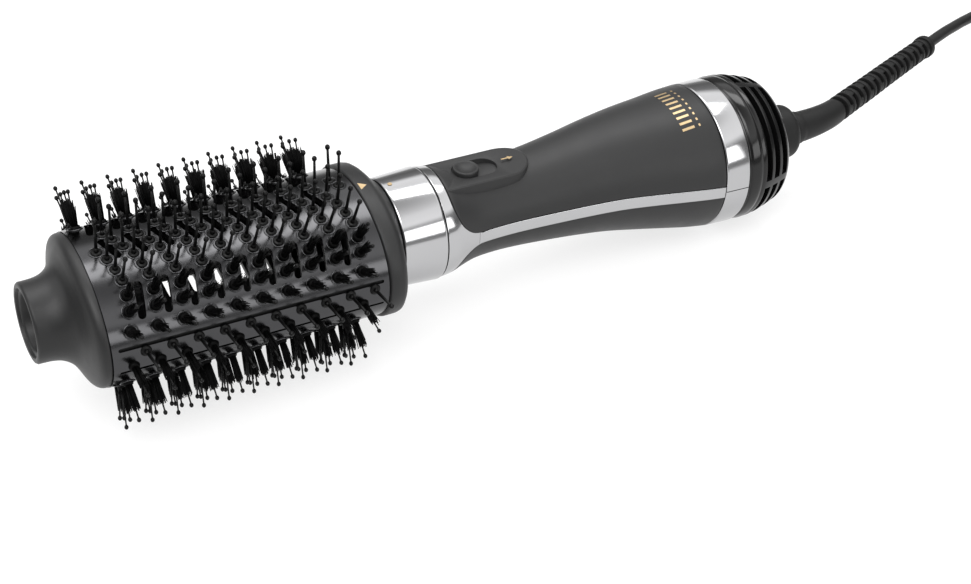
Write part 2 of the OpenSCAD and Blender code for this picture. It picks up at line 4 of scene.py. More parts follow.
import bmesh
import bpy
from mathutils import Matrix, Vector
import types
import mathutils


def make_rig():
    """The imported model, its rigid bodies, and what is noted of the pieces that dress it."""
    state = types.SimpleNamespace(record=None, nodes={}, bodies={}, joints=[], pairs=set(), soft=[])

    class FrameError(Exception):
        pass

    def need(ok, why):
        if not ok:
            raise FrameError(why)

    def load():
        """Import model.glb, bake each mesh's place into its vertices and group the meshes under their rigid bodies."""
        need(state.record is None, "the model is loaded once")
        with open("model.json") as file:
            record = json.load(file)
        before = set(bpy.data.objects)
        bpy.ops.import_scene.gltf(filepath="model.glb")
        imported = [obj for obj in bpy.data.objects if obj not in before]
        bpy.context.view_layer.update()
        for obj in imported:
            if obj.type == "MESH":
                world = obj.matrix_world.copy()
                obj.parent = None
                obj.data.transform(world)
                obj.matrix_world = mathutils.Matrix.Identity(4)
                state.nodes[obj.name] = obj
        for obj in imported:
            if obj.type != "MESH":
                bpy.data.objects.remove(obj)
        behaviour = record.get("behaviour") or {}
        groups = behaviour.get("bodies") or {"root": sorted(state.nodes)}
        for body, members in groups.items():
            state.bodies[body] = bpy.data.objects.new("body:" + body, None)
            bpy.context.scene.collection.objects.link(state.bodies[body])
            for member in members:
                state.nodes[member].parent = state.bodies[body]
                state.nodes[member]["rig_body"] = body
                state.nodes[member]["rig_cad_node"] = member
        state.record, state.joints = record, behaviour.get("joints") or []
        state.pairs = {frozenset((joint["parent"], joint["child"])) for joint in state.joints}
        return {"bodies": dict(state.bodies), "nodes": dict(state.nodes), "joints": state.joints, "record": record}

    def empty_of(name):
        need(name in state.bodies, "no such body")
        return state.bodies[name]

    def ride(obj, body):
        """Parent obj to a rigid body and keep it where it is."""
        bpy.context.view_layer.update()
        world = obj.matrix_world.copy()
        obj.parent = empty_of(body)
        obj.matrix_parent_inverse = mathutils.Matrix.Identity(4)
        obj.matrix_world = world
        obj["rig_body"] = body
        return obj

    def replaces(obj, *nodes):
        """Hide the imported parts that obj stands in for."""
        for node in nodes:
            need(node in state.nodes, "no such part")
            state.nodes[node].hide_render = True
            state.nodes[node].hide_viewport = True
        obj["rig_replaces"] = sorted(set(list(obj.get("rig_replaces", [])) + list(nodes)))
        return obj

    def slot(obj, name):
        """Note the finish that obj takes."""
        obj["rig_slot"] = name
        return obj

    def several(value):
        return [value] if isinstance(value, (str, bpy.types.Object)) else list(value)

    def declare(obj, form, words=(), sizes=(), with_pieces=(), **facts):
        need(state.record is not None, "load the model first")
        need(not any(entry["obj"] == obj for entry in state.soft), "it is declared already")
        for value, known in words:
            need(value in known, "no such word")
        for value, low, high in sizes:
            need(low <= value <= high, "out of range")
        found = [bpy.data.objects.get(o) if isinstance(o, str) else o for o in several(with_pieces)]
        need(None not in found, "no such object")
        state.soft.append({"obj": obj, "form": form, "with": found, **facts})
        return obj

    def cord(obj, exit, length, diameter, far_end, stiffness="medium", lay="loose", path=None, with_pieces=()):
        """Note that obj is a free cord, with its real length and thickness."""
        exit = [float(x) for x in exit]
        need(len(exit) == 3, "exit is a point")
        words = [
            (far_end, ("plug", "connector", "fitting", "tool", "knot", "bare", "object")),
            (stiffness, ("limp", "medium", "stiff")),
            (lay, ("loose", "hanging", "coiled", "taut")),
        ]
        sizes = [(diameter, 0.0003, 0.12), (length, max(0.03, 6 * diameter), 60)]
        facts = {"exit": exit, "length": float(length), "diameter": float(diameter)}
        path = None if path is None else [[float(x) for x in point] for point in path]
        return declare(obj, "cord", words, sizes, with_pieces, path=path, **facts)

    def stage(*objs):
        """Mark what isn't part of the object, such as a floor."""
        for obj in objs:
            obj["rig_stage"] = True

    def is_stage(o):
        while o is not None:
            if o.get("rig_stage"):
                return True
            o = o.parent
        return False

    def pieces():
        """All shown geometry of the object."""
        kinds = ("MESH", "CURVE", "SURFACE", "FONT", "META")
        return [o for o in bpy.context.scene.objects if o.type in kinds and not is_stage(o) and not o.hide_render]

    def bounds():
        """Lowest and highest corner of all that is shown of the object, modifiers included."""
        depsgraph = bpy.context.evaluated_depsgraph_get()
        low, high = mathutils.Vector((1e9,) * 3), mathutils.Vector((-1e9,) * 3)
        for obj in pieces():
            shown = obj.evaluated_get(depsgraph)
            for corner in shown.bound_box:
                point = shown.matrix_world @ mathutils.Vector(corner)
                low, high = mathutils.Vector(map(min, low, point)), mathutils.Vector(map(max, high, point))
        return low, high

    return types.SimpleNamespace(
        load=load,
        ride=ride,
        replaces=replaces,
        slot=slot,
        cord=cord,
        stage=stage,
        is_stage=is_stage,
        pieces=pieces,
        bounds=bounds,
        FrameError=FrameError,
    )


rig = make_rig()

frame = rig.load()
cad_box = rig.bounds()
MM = 0.001

# ---- Places along the tool's own axis, in millimetres from the nose rim, as in the design ----
SHEET0 = 21.4
SHEET1 = 129.2
FLANGE1 = 141.3
COLLAR1 = 159.7
SHELL0 = 160.0
RING0 = 283.8
RING1 = 295.0
INLET1 = 319.6
GLAND1 = 335.7
GLAND_R = 11.8
NOSE_R = 15.4
LIP_R = 31.0
LIE_TILT = math.radians(3.3)
HEAD_ROLL = math.radians(5.0)
BARREL_A = 34.3
BARREL_B = 25.6
PITCH = 9.93
COLUMNS = 10
CORD_D = 5.2

AXIS_H = (RING1 + 8) * math.sin(LIE_TILT) + LIP_R * math.cos(LIE_TILT)
AXIS_MID = (GLAND1 * math.cos(LIE_TILT) + (GLAND_R - NOSE_R) * math.sin(LIE_TILT)) / 2
LIE = Matrix.Translation((-AXIS_MID, 0, AXIS_H)) @ Matrix.Rotation(LIE_TILT, 4, "Y")
TO_WORLD = Matrix.Scale(MM, 4) @ LIE
HEAD_TO_WORLD = TO_WORLD @ Matrix.Rotation(HEAD_ROLL, 4, "X")
JUST_MM = Matrix.Scale(MM, 4)


# ---- Node building ----
class Wire:
    """A node's output that can be used in Python expressions."""

    def __init__(self, nodes, socket):
        self.nodes, self.socket = nodes, socket

    def maths(self, operation, *others):
        return self.nodes.add("ShaderNodeMath", {"operation": operation}, [self, *others])

    def __add__(self, other):
        return self.maths("ADD", other)

    def __sub__(self, other):
        return self.maths("SUBTRACT", other)

    def __mul__(self, other):
        return self.maths("MULTIPLY", other)

    def __rsub__(self, other):
        return self.nodes.add("ShaderNodeMath", {"operation": "SUBTRACT"}, [other, self])

    __radd__ = __add__
    __rmul__ = __mul__


class Nodes:
    """Adds nodes to a tree: a type, its settings, then its sockets' values or links."""

    def __init__(self, tree):
        self.tree = tree

    def add(self, kind, settings=None, sockets=(), output=0):
        node = self.tree.nodes.new(kind)
        for key, value in (settings or {}).items():
            setattr(node, key, value)
        pairs = sockets.items() if isinstance(sockets, dict) else enumerate(sockets)
        for key, value in pairs:
            if value is None:
                continue
            if isinstance(value, Wire):
                self.tree.links.new(value.socket, node.inputs[key])
            else:
                node.inputs[key].default_value = value
        return Wire(self, node.outputs[output]) if node.outputs else node

    def mix(self, factor, a, b):
        node = self.add("ShaderNodeMix", {"data_type": "RGBA"}).socket.node
        for key, value in ((0, factor), (6, a), (7, b)):
            if isinstance(value, Wire):
                self.tree.links.new(value.socket, node.inputs[key])
            else:
                node.inputs[key].default_value = value
        return Wire(self, node.outputs[2])

    def place(self, scale=(1, 1, 1), turn=(0, 0, 0)):
        where = self.add("ShaderNodeTexCoord", {}, {}, "Object")
        return self.add("ShaderNodeMapping", {}, {"Vector": where, "Scale": scale, "Rotation": turn})

    def noise(self, scale, detail=3.0, rough=0.5, vector=None):
        return self.add("ShaderNodeTexNoise", {}, {"Vector": vector or self.place(), "Scale": scale,
                                                  "Detail": detail, "Roughness": rough})

    def ramp(self, value, stops):
        wire = self.add("ShaderNodeValToRGB", {}, [value])
        elements = wire.socket.node.color_ramp.elements
        while len(elements) < len(stops):
            elements.new(0.5)
        for element, (at, colour) in zip(elements, stops):
            element.position, element.color = at, colour
        return wire

    def bump(self, height, strength, distance):
        return self.add("ShaderNodeBump", {}, {"Height": height, "Strength": strength, "Distance": distance})


def material(name, **fixed):
    """A new material, its node builder and its main shader, with fixed values on the shader's sockets."""
    made = bpy.data.materials.new(name)
    made.use_nodes = True
    shader = made.node_tree.nodes["Principled BSDF"]
    for key, value in fixed.items():
        shader.inputs[key.replace("_", " ")].default_value = value
    return made, Nodes(made.node_tree), shader


def feed(nodes, shader, **links):
    for key, wire in links.items():
        nodes.tree.links.new(wire.socket, shader.inputs[key.replace("_", " ")])


def grey(value, tint=0.0):
    return (value, value, value * (1 + tint), 1)


def moulded(name, base, rough, grain=0.35, sheen=0.0, spec=0.5):
    """Matt moulded plastic: fine spark-eroded grain, faint blotches and rubbed places."""
    made, n, s = material(name, Sheen_Weight=sheen, Specular_IOR_Level=spec)
    blotch = n.noise(45, 3)
    fine = n.noise(2600, 2, 0.6)
    rub = n.ramp(n.noise(120, 4), [(0.42, grey(0)), (0.75, grey(1))])
    dark, light = (base * 0.9, base * 0.9, base * 0.92, 1), (base * 1.14, base * 1.14, base * 1.16, 1)
    feed(n, s, Base_Color=n.mix(blotch, dark, light), Roughness=rough + 0.07 * (blotch - 0.5) - 0.05 * rub,
         Normal=n.bump(fine, grain, 0.00008))
    return made


def glossy_metal(name, base, rough, wave=0.15):
    """Lacquered or plated metal: long soft waves, micro scratches and a few dull patches."""
    made, n, s = material(name, Metallic=1.0)
    blotch = n.noise(60, 3)
    waves = n.noise(28, 2, 0.4, n.place((0.35, 1, 1)))
    scratch = n.noise(900, 3, 0.7, n.place((0.06, 1, 1)))
    low, high = (base[0] * 0.93, base[1] * 0.93, base[2] * 0.94, 1), (*base, 1)
    feed(n, s, Base_Color=n.mix(blotch, low, high), Roughness=rough + 0.04 * scratch + 0.03 * (blotch - 0.5),
         Normal=n.bump(waves, wave, 0.0004))
    return made


def rubbery(name, base, rough):
    made, n, s = material(name, Specular_IOR_Level=0.22)
    blotch = n.noise(90, 4)
    fine = n.noise(1800, 3, 0.7)
    feed(n, s, Base_Color=n.mix(blotch, grey(base * 0.8), grey(base * 1.25)),
         Roughness=rough + 0.12 * (blotch - 0.5), Normal=n.bump(fine, 0.3, 0.0001))
    return made


def flex_cord():
    """Cord jacket: two fine lengthwise lines on its own round-the-cord coordinate, and a faint nap."""
    made, n, s = material("cord_jacket", Specular_IOR_Level=0.25)
    uv = n.add("ShaderNodeUVMap", {"uv_map": "along"})
    around = n.add("ShaderNodeSeparateXYZ", {}, [uv], "X")
    wave = n.add("ShaderNodeMath", {"operation": "SINE"}, [around * (4 * math.pi)])
    line = n.ramp(wave, [(0.0, grey(1)), (0.9, grey(1)), (0.98, grey(0))])
    fine = n.noise(2200, 2)
    blotch = n.noise(70, 3)
    feed(n, s, Base_Color=n.mix(blotch, grey(0.006), grey(0.012)), Roughness=0.42 + 0.14 * blotch,
         Normal=n.bump(line + 0.12 * fine, 0.5, 0.0003))
    return made


def gold_print():
    made, n, s = material("gold_print", Metallic=0.75)
    speck = n.noise(1500, 2)
    feed(n, s, Base_Color=n.mix(speck, (0.4, 0.28, 0.14, 1), (0.56, 0.43, 0.26, 1)), Roughness=0.34 + 0.15 * speck)
    return made


def fine_mesh():
    """Woven wire screen: crossed threads with dark holes."""
    made, n, s = material("fine_mesh", Metallic=0.6)
    at = n.add("ShaderNodeTexCoord", {}, {}, "Object")
    x = n.add("ShaderNodeSeparateXYZ", {}, [at], "X")
    y = n.add("ShaderNodeSeparateXYZ", {}, [at], "Y")
    z = n.add("ShaderNodeSeparateXYZ", {}, [at], "Z")
    along = n.add("ShaderNodeMath", {"operation": "SINE"}, [x * 7000])
    round_it = n.add("ShaderNodeMath", {"operation": "SINE"}, [(y + z) * 7000])
    weave = n.ramp(along * round_it * 0.5 + 0.5, [(0.35, grey(0.004)), (0.7, grey(0.05))])
    feed(n, s, Base_Color=weave, Roughness=0.5 + 0.2 * n.noise(400), Normal=n.bump(along * round_it, 0.6, 0.0003))
    return made


def board():
    made, n, s = material("circuit_green")
    cells = n.add("ShaderNodeTexVoronoi", {"feature": "DISTANCE_TO_EDGE"}, {"Vector": n.place(), "Scale": 260})
    track = n.ramp(cells, [(0.04, grey(1)), (0.09, grey(0))])
    feed(n, s, Base_Color=n.mix(track, (0.02, 0.11, 0.045, 1), (0.09, 0.3, 0.12, 1)), Roughness=0.3 + 0.2 * track)
    return made


def layered(name, low, high, scale, rough, metal=0.0):
    made, n, s = material(name, Metallic=metal)
    bands = n.noise(scale, 5, 0.6, n.place((0.3, 1, 1)))
    feed(n, s, Base_Color=n.mix(bands, (*low, 1), (*high, 1)), Roughness=rough + 0.15 * bands,
         Normal=n.bump(bands, 0.2, 0.0002))
    return made


SOFT_GREY = moulded("soft_touch_grey", 0.015, 0.48, 0.3, 0.02, 0.3)
HEAD_GREY = moulded("head_grey", 0.012, 0.46, 0.35, 0.0, 0.3)
NYLON = moulded("black_nylon", 0.0025, 0.4, 0.1, 0.0, 0.16)
BRISTLE = moulded("bristle_black", 0.0015, 0.55, 0.05, 0.0, 0.06)
INNER = moulded("inner_plastic", 0.02, 0.5, 0.4)
GUNMETAL = glossy_metal("gunmetal_sheet", (0.062, 0.062, 0.064), 0.16)
CHROME = glossy_metal("bright_trim", (0.43, 0.43, 0.435), 0.1, 0.08)
STEEL = glossy_metal("plain_steel", (0.5, 0.5, 0.52), 0.3)
RUBBER = rubbery("black_rubber", 0.007, 0.5)
GLOSS = moulded("gloss_black", 0.004, 0.16, 0.03, 0.0, 0.35)
CORD = flex_cord()
GOLD = gold_print()
MESH = fine_mesh()
GREEN = board()
MICA = layered("mica", (0.5, 0.4, 0.22), (0.72, 0.62, 0.42), 300, 0.4)
WIRE = layered("heater_wire", (0.42, 0.2, 0.09), (0.66, 0.38, 0.2), 900, 0.3, 1.0)
BRASS = layered("blade_brass", (0.6, 0.45, 0.2), (0.85, 0.7, 0.4), 500, 0.25, 1.0)
BLUE = moulded("button_blue", 0.02, 0.3, 0.1)
RED = moulded("button_red", 0.02, 0.3, 0.1)
CERAMIC = layered("ceramic", (0.7, 0.7, 0.68), (0.85, 0.85, 0.83), 400, 0.35)


def tint(made, low, high):
    """Recolours a moulded material's blotches."""
    for node in made.node_tree.nodes:
        if node.bl_idname == "ShaderNodeMix":
            node.inputs[6].default_value, node.inputs[7].default_value = (*low, 1), (*high, 1)


tint(BLUE, (0.03, 0.06, 0.22), (0.05, 0.09, 0.3))
tint(RED, (0.3, 0.015, 0.015), (0.42, 0.03, 0.03))


# The record's material slot that each finish stands for
SLOT_OF = {SOFT_GREY: "soft_touch_grey", HEAD_GREY: "soft_touch_grey", NYLON: "black_nylon", BRISTLE: "black_nylon",
           GUNMETAL: "dark_metal", CHROME: "bright_trim", RUBBER: "black_rubber", CORD: "black_rubber",
           GLOSS: "gloss_black", GOLD: "blade_brass", BRASS: "blade_brass", BLUE: "button_blue", RED: "button_red"}


# ---- Mesh building ----
def piece(name, points, faces, finish, body, turn=TO_WORLD, sharp=35, bevel=0.0):
    """A mesh object with its place in its mesh, outward faces, soft shading and sharp creases."""
    mesh = bpy.data.meshes.new(name)
    mesh.from_pydata([turn @ Vector(p) for p in points], [], faces)
    tidy(mesh, sharp)
    return finished(name, mesh, finish, body, bevel)


def tidy(mesh, sharp=35):
    work = bmesh.new()
    work.from_mesh(mesh)
    bmesh.ops.remove_doubles(work, verts=work.verts, dist=1e-7)
    bmesh.ops.recalc_face_normals(work, faces=work.faces)
    for edge in work.edges:
        if len(edge.link_faces) == 2:
            edge.smooth = edge.calc_face_angle(0) < math.radians(sharp)
    for face in work.faces:
        face.smooth = True
    work.to_mesh(mesh)
    work.free()
    mesh.update()


def paint(mesh, finish):
    mesh.materials.clear()
    mesh.materials.append(finish)


def soften(made, width, angle):
    """Bevels the edges that are sharper than an angle in degrees."""
    edge = made.modifiers.new("edges", "BEVEL")
    edge.width, edge.segments, edge.limit_method, edge.angle_limit = width, 2, "ANGLE", math.radians(angle)


def linked(name, mesh):
    made = bpy.data.objects.new(name, mesh)
    bpy.context.scene.collection.objects.link(made)
    return made


def drafted(name, work):
    """An object made from a bmesh, with its faces outward."""
    bmesh.ops.recalc_face_normals(work, faces=work.faces)
    mesh = bpy.data.meshes.new(name)
    work.to_mesh(mesh)
    work.free()
    return linked(name, mesh)


def prism(work, outline, low, high):
    """Adds a closed upright block over an outline to a bmesh."""
    under, over = ([work.verts.new((x, y, z)) for x, y in outline] for z in (low, high))
    work.faces.new(list(reversed(under)))
    work.faces.new(over)
    for k in range(len(under)):
        after = (k + 1) % len(under)
        work.faces.new((under[k], under[after], over[after], over[k]))


def cut_away(made, tool, edges=None):
    """Cuts a tool out of an object; edges gives the width and angle of a bevel after the cut."""
    cut = made.modifiers.new("cut", "BOOLEAN")
    cut.operation, cut.object, cut.solver = "DIFFERENCE", tool, "EXACT"
    if edges:
        soften(made, *edges)
    bake(made)
    bpy.data.objects.remove(tool)


def mesh_of(made):
    """An object's mesh, kept without the object."""
    mesh = made.data
    bpy.data.objects.remove(made)
    return mesh


def finished(name, mesh, finish, body, bevel=0.0):
    made = linked(name, mesh)
    paint(mesh, finish)
    if bevel:
        soften(made, bevel * MM, 50)
        bake(made)
        tidy(made.data)
        paint(made.data, finish)
    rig.ride(made, body)
    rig.slot(made, SLOT_OF[finish])
    return made


def bake(made):
    """Turns an object's modifiers into a plain mesh."""
    bpy.context.view_layer.update()
    graph = bpy.context.evaluated_depsgraph_get()
    fresh = bpy.data.meshes.new_from_object(made.evaluated_get(graph))
    made.modifiers.clear()
    made.data = fresh


def grid_faces(rows, columns, wrap=True, start=0):
    """Quads between rows of points; each row closes on itself when wrapped."""
    span = columns if wrap else columns - 1
    return [(start + r * columns + c, start + r * columns + (c + 1) % columns,
             start + (r + 1) * columns + (c + 1) % columns, start + (r + 1) * columns + c)
            for r in range(rows - 1) for c in range(span)]


def closed_faces(rings, sides):
    """Faces of a closed skin: quads between its rings and a cap on each end."""
    last = (rings - 1) * sides
    return grid_faces(rings, sides) + [tuple(range(sides)), tuple(range(last, last + sides))]


def upright(x, rings, sides):
    """Points and faces of a closed shape of (radius, height) rings round an upright axis."""
    points = [(x + r * math.cos(2 * math.pi * k / sides), r * math.sin(2 * math.pi * k / sides), z)
              for r, z in rings for k in range(sides)]
    return points, closed_faces(len(rings), sides)


def smooth_line(stops, steps):
    """Points of a smooth curve through stops, a few steps in each span."""
    out = []
    for i in range(len(stops) - 1):
        a, b, c, d = (Vector(stops[max(0, min(len(stops) - 1, i + k))]) for k in (-1, 0, 1, 2))
        for j in range(steps):
            f = j / steps
            out.append(0.5 * (2 * b + (c - a) * f + (2 * a - 5 * b + 4 * c - d) * f * f
                              + (3 * b - a - 3 * c + d) * f * f * f))
    out.append(Vector(stops[-1]))
    return out


def turned(profile, finish, name, body, turn=TO_WORLD, sides=128, sharp=35, span=(0, 360), bevel=0.0):
    """A profile of (place, radius) turned round the tool's axis; a partial turn gets end caps."""
    whole = span[1] - span[0] >= 360
    count = sides if whole else sides + 1
    points, n = [], len(profile)
    for k in range(count):
        q = math.radians(span[0] + (span[1] - span[0]) * k / sides)
        points += [(x, r * math.cos(q), r * math.sin(q)) for x, r in profile]
    faces = [((k % count) * n + i, (k % count) * n + (i + 1) % n, ((k + 1) % count) * n + (i + 1) % n,
              ((k + 1) % count) * n + i) for k in range(sides) for i in range(n)]
    if not whole:
        faces += [tuple(range(n)), tuple(range((count - 1) * n, count * n))]
    return piece(name, points, faces, finish, body, turn, sharp, bevel)


def rounded(profile, radius=0.4, steps=3):
    """A closed outline with each corner cut to a small round; a radius per corner may be given as a third value."""
    out, n = [], len(profile)
    for i, corner in enumerate(profile):
        size = corner[2] if len(corner) > 2 else radius
        here, before, after = (Vector(p[:2]) for p in (corner, profile[i - 1], profile[(i + 1) % n]))
        back, on = before - here, after - here
        size = min(size, back.length * 0.45, on.length * 0.45)
        a, b = here + back.normalized() * size, here + on.normalized() * size
        for j in range(steps + 1):
            f = j / steps
            out.append(tuple((1 - f) ** 2 * a + 2 * f * (1 - f) * here + f * f * b))
    return out


def oval_loft(stations, sides=160):
    """Closed skin through oval stations (place, half width, half height), ends left open."""
    points = [(x, a * math.cos(2 * math.pi * k / sides), b * math.sin(2 * math.pi * k / sides))
              for x, a, b in stations for k in range(sides)]
    return points, grid_faces(len(stations), sides)


def swept(line, radius_at, sides=16, squash=1.0):
    """Tube rings along a line in millimetres; radius_at takes the share of the way along."""
    points, spans = [], [0.0]
    for a, b in zip(line, line[1:]):
        spans.append(spans[-1] + (b - a).length)
    for i, here in enumerate(line):
        ahead = (line[min(i + 1, len(line) - 1)] - line[max(i - 1, 0)]).normalized()
        side = Vector((0, 0, 1)).cross(ahead).normalized()
        up = ahead.cross(side)
        r = radius_at(spans[i] / spans[-1])
        points += [here + r * (math.cos(2 * math.pi * k / sides) * side
                               + squash * math.sin(2 * math.pi * k / sides) * up) for k in range(sides)]
    return points, spans


def tube_piece(name, line, radius_at, finish, body, sides=16, turn=JUST_MM, sharp=40):
    points, _ = swept(line, radius_at, sides)
    return piece(name, points, closed_faces(len(line), sides), finish, body, turn, sharp)


# ---- Camera and light ----
def look():
    data = bpy.data.cameras.new("camera")
    data.lens, data.sensor_width, data.clip_end = 67.6, 36, 20
    camera = bpy.data.objects.new("camera", data)
    bpy.context.scene.collection.objects.link(camera)
    camera.location = (-0.2560, -0.5263, 0.4670)
    ahead = Vector((0.3632, 0.6928, -0.6230))
    camera.rotation_euler = ahead.to_track_quat("-Z", "Y").to_euler()
    bpy.context.scene.camera = camera


def area(name, at, towards, size, power, tone=(1, 1, 1)):
    data = bpy.data.lights.new(name, "AREA")
    data.shape, data.size, data.size_y, data.energy, data.color = "RECTANGLE", size[0], size[1], power, tone
    lamp = bpy.data.objects.new(name, data)
    bpy.context.scene.collection.objects.link(lamp)
    lamp.location = at
    lamp.rotation_euler = (Vector(towards) - Vector(at)).to_track_quat("-Z", "Y").to_euler()
    return lamp


def studio():
    scene = bpy.context.scene
    scene.view_settings.view_transform = "Standard"
    scene.view_settings.look = "None"
    world = bpy.data.worlds.new("studio")
    scene.world = world
    world.use_nodes = True
    n = Nodes(world.node_tree)
    back = world.node_tree.nodes["Background"]
    where = n.add("ShaderNodeTexCoord", {}, {}, "Generated")
    height = n.add("ShaderNodeSeparateXYZ", {}, [where], "Z")
    sky = n.ramp(height * 0.5 + 0.5, [(0.0, grey(0.7)), (0.5, grey(0.5)), (0.6, grey(0.22)), (0.74, grey(0.4)),
                                      (0.8, grey(1.9)), (0.9, grey(1.7)), (1.0, grey(0.6))])
    world.node_tree.links.new(sky.socket, back.inputs["Color"])
    back.inputs["Strength"].default_value = 0.9
    area("key", (-0.5, -0.55, 1.3), (0, 0, 0.03), (1.1, 0.7), 13)
    area("over", (0.25, 0.5, 1.4), (0, 0, 0.03), (1.6, 0.5), 14)
    area("front", (0.5, -1.3, 0.5), (0.05, 0, 0.03), (0.9, 0.5), 5)
    mesh = bpy.data.meshes.new("floor")
    side = 6.0
    mesh.from_pydata([(-side, -side, 0), (side, -side, 0), (side, side, 0), (-side, side, 0)], [], [(0, 1, 2, 3)])
    floor = bpy.data.objects.new("floor", mesh)
    scene.collection.objects.link(floor)
    made, n, s = material("pale_floor", Specular_IOR_Level=0.1, Emission_Color=grey(1), Emission_Strength=0.75)
    soft = n.noise(3, 2)
    feed(n, s, Base_Color=n.mix(soft, grey(0.25), grey(0.27)), Roughness=0.8 + 0.05 * soft)
    mesh.materials.append(made)
    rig.stage(floor)


# ---- The cord ----
GLAND_END = Vector((GLAND1 * math.cos(LIE_TILT) - AXIS_MID, 0, AXIS_H - GLAND1 * math.sin(LIE_TILT)))
RELIEF = [GLAND_END, (176, 0.4, 28.4), (185, 1.8, 27.6), (195, 5, 26.4), (210, 11.6, 25),
          (225, 18, 23.8), (240, 24.6, 22.6), (255, 31.2, 21.2), (277, 41, 19)]
LEAD = [(277, 41, 19), (286, 45, 18.3), (296, 49.6, 17), (305, 54, 15), (315, 59, 12.6), (325, 64, 9.8),
        (336, 70, 6.6), (348, 77, 4), (360, 84, 2.8), (366, 87.6, 2.6), (372, 91, 2.6)]
COIL_AT = (390, 62.4)
COIL_TURNS = 3
COIL_LAYERS = 4
COIL_MID_R = 5.5 * CORD_D
TAIL = [(423.8, 62, 18.2), (424, 50, 17.2), (423.4, 38, 13.6), (421, 26, 9), (416, 15, 5), (408, 5, 3),
        (398, -3, 2.6), (388, -8, 3.4), (378, -11, 6), (368, -12, 9.4)]
PLUG_AT = (352, -12, 0)


def coil_line():
    """The turns of the coil, from the lead's end at the outside of the lowest layer to the tail's start."""
    start = math.atan2(LEAD[-1][1] - COIL_AT[1], LEAD[-1][0] - COIL_AT[0])
    end = math.atan2(TAIL[0][1] - COIL_AT[1], TAIL[0][0] - COIL_AT[0])
    total = COIL_TURNS * COIL_LAYERS * 2 * math.pi - (2 * math.pi - (start - end)) % (2 * math.pi)
    outer = COIL_MID_R + (COIL_TURNS - 1) / 2 * CORD_D
    steps = COIL_TURNS * COIL_LAYERS * 40
    line = []
    for i in range(steps + 1):
        turned_by = total * i / steps
        layer_way = turned_by / total * COIL_LAYERS
        layer = min(int(layer_way), COIL_LAYERS - 1)
        share = layer_way - layer
        inward = share if layer % 2 == 0 else 1 - share
        climb = min(1.0, max(0.0, (share - 0.9) / 0.1)) if layer < COIL_LAYERS - 1 else 0.0
        climb = climb * climb * (3 - 2 * climb)
        r = outer - inward * (COIL_TURNS - 1) * CORD_D
        angle = start - turned_by
        line.append(Vector((COIL_AT[0] + r * math.cos(angle), COIL_AT[1] + r * math.sin(angle),
                            CORD_D * (0.5 + layer + climb))))
    return line


def cord():
    start, lead, tail = smooth_line(RELIEF, 6), smooth_line(LEAD, 6), smooth_line(TAIL, 6)
    line = start[:-1] + lead[:-1] + coil_line() + tail[1:]
    sides = 12
    points, spans = swept(line, lambda share: CORD_D / 2, sides)
    faces = grid_faces(len(line), sides)
    last = (len(line) - 1) * sides
    faces += [tuple(range(sides)), tuple(range(last, last + sides))]
    mesh = bpy.data.meshes.new("power_cord")
    mesh.from_pydata([JUST_MM @ Vector(p) for p in points], [], faces)
    layer = mesh.uv_layers.new(name="along")
    for face in mesh.polygons:
        seam = max(v % sides for v in face.vertices) == sides - 1 and min(v % sides for v in face.vertices) == 0
        for loop in face.loop_indices:
            v = mesh.loops[loop].vertex_index
            k = v % sides
            layer.data[loop].uv = ((k + sides if seam and k == 0 else k) / sides, spans[v // sides] / 100)
    tidy(mesh, 60)
    made = finished("power_cord", mesh, CORD, "cord")
    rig.replaces(made, "cord_lead", "cord_coil", "cord_tail")
    return made, [JUST_MM @ p for p in line], spans[-1] * MM


def boot():
    """Bent relief: a smooth elbow, then a ribbed flexible length and an end collar."""
    line = smooth_line(RELIEF, 10)
    ribs_from = 0.27

    def radius(share):
        if share < 0.045:
            return 7.2
        return 7.0 - 1.3 * min(1, share / ribs_from) if share < ribs_from else 4.0 - 0.5 * share

    core = tube_piece("strain_relief_core", line, radius, RUBBER, "cord", 28)
    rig.replaces(core, "strain_relief")
    spans = [0.0]
    for a, b in zip(line, line[1:]):
        spans.append(spans[-1] + (b - a).length)

    def at(distance):
        i = max(k for k in range(len(line) - 1) if spans[k] <= distance)
        f = (distance - spans[i]) / (spans[i + 1] - spans[i])
        return line[i].lerp(line[i + 1], f), (line[i + 1] - line[i]).normalized()

    count, first = 17, spans[-1] * (ribs_from + 0.01)
    step = (spans[-1] - 3.4 - first) / count
    points, faces = [], []

    def ring(place, thick, out, inner, spread=(0, 360), sides=28):
        middle, ahead = at(place)
        side = Vector((0, 0, 1)).cross(ahead).normalized()
        up = ahead.cross(side)
        base = len(points)
        outline = rounded([(-thick / 2, inner), (-thick / 2, out), (thick / 2, out), (thick / 2, inner)], 0.4, 2)
        whole = spread[1] - spread[0] >= 360
        stops = sides if whole else sides + 1
        for k in range(stops):
            q = math.radians(spread[0] + (spread[1] - spread[0]) * k / sides)
            for x, r in outline:
                points.append(middle + ahead * x + r * (math.cos(q) * side + math.sin(q) * up))
        n = len(outline)
        for k in range(sides):
            for i in range(n):
                faces.append((base + k * n + i, base + k * n + (i + 1) % n,
                              base + ((k + 1) % stops) * n + (i + 1) % n, base + ((k + 1) % stops) * n + i))
        if not whole:
            faces.append(tuple(base + i for i in range(n)))
            faces.append(tuple(base + (stops - 1) * n + i for i in range(n)))

    for k in range(count):
        share = k / (count - 1)
        out = 5.7 - 0.7 * share
        ring(first + step * (k + 0.5), step * 0.42, out, 3.0)
        if k < count - 1:
            turn = 90 * (k % 2)
            for side in (0, 180):
                ring(first + step * (k + 1), step * 0.62, out - 0.35, 3.0, (side + turn - 24, side + turn + 24), 8)
    ring(spans[-1] - 1.7, 3.2, 5.4, 2.7)
    ring(spans[-1] - 4.0, 1.6, 4.6, 2.7)
    ribs = piece("strain_relief_ribs", points, faces, RUBBER, "cord", JUST_MM, 40)
    return core, ribs


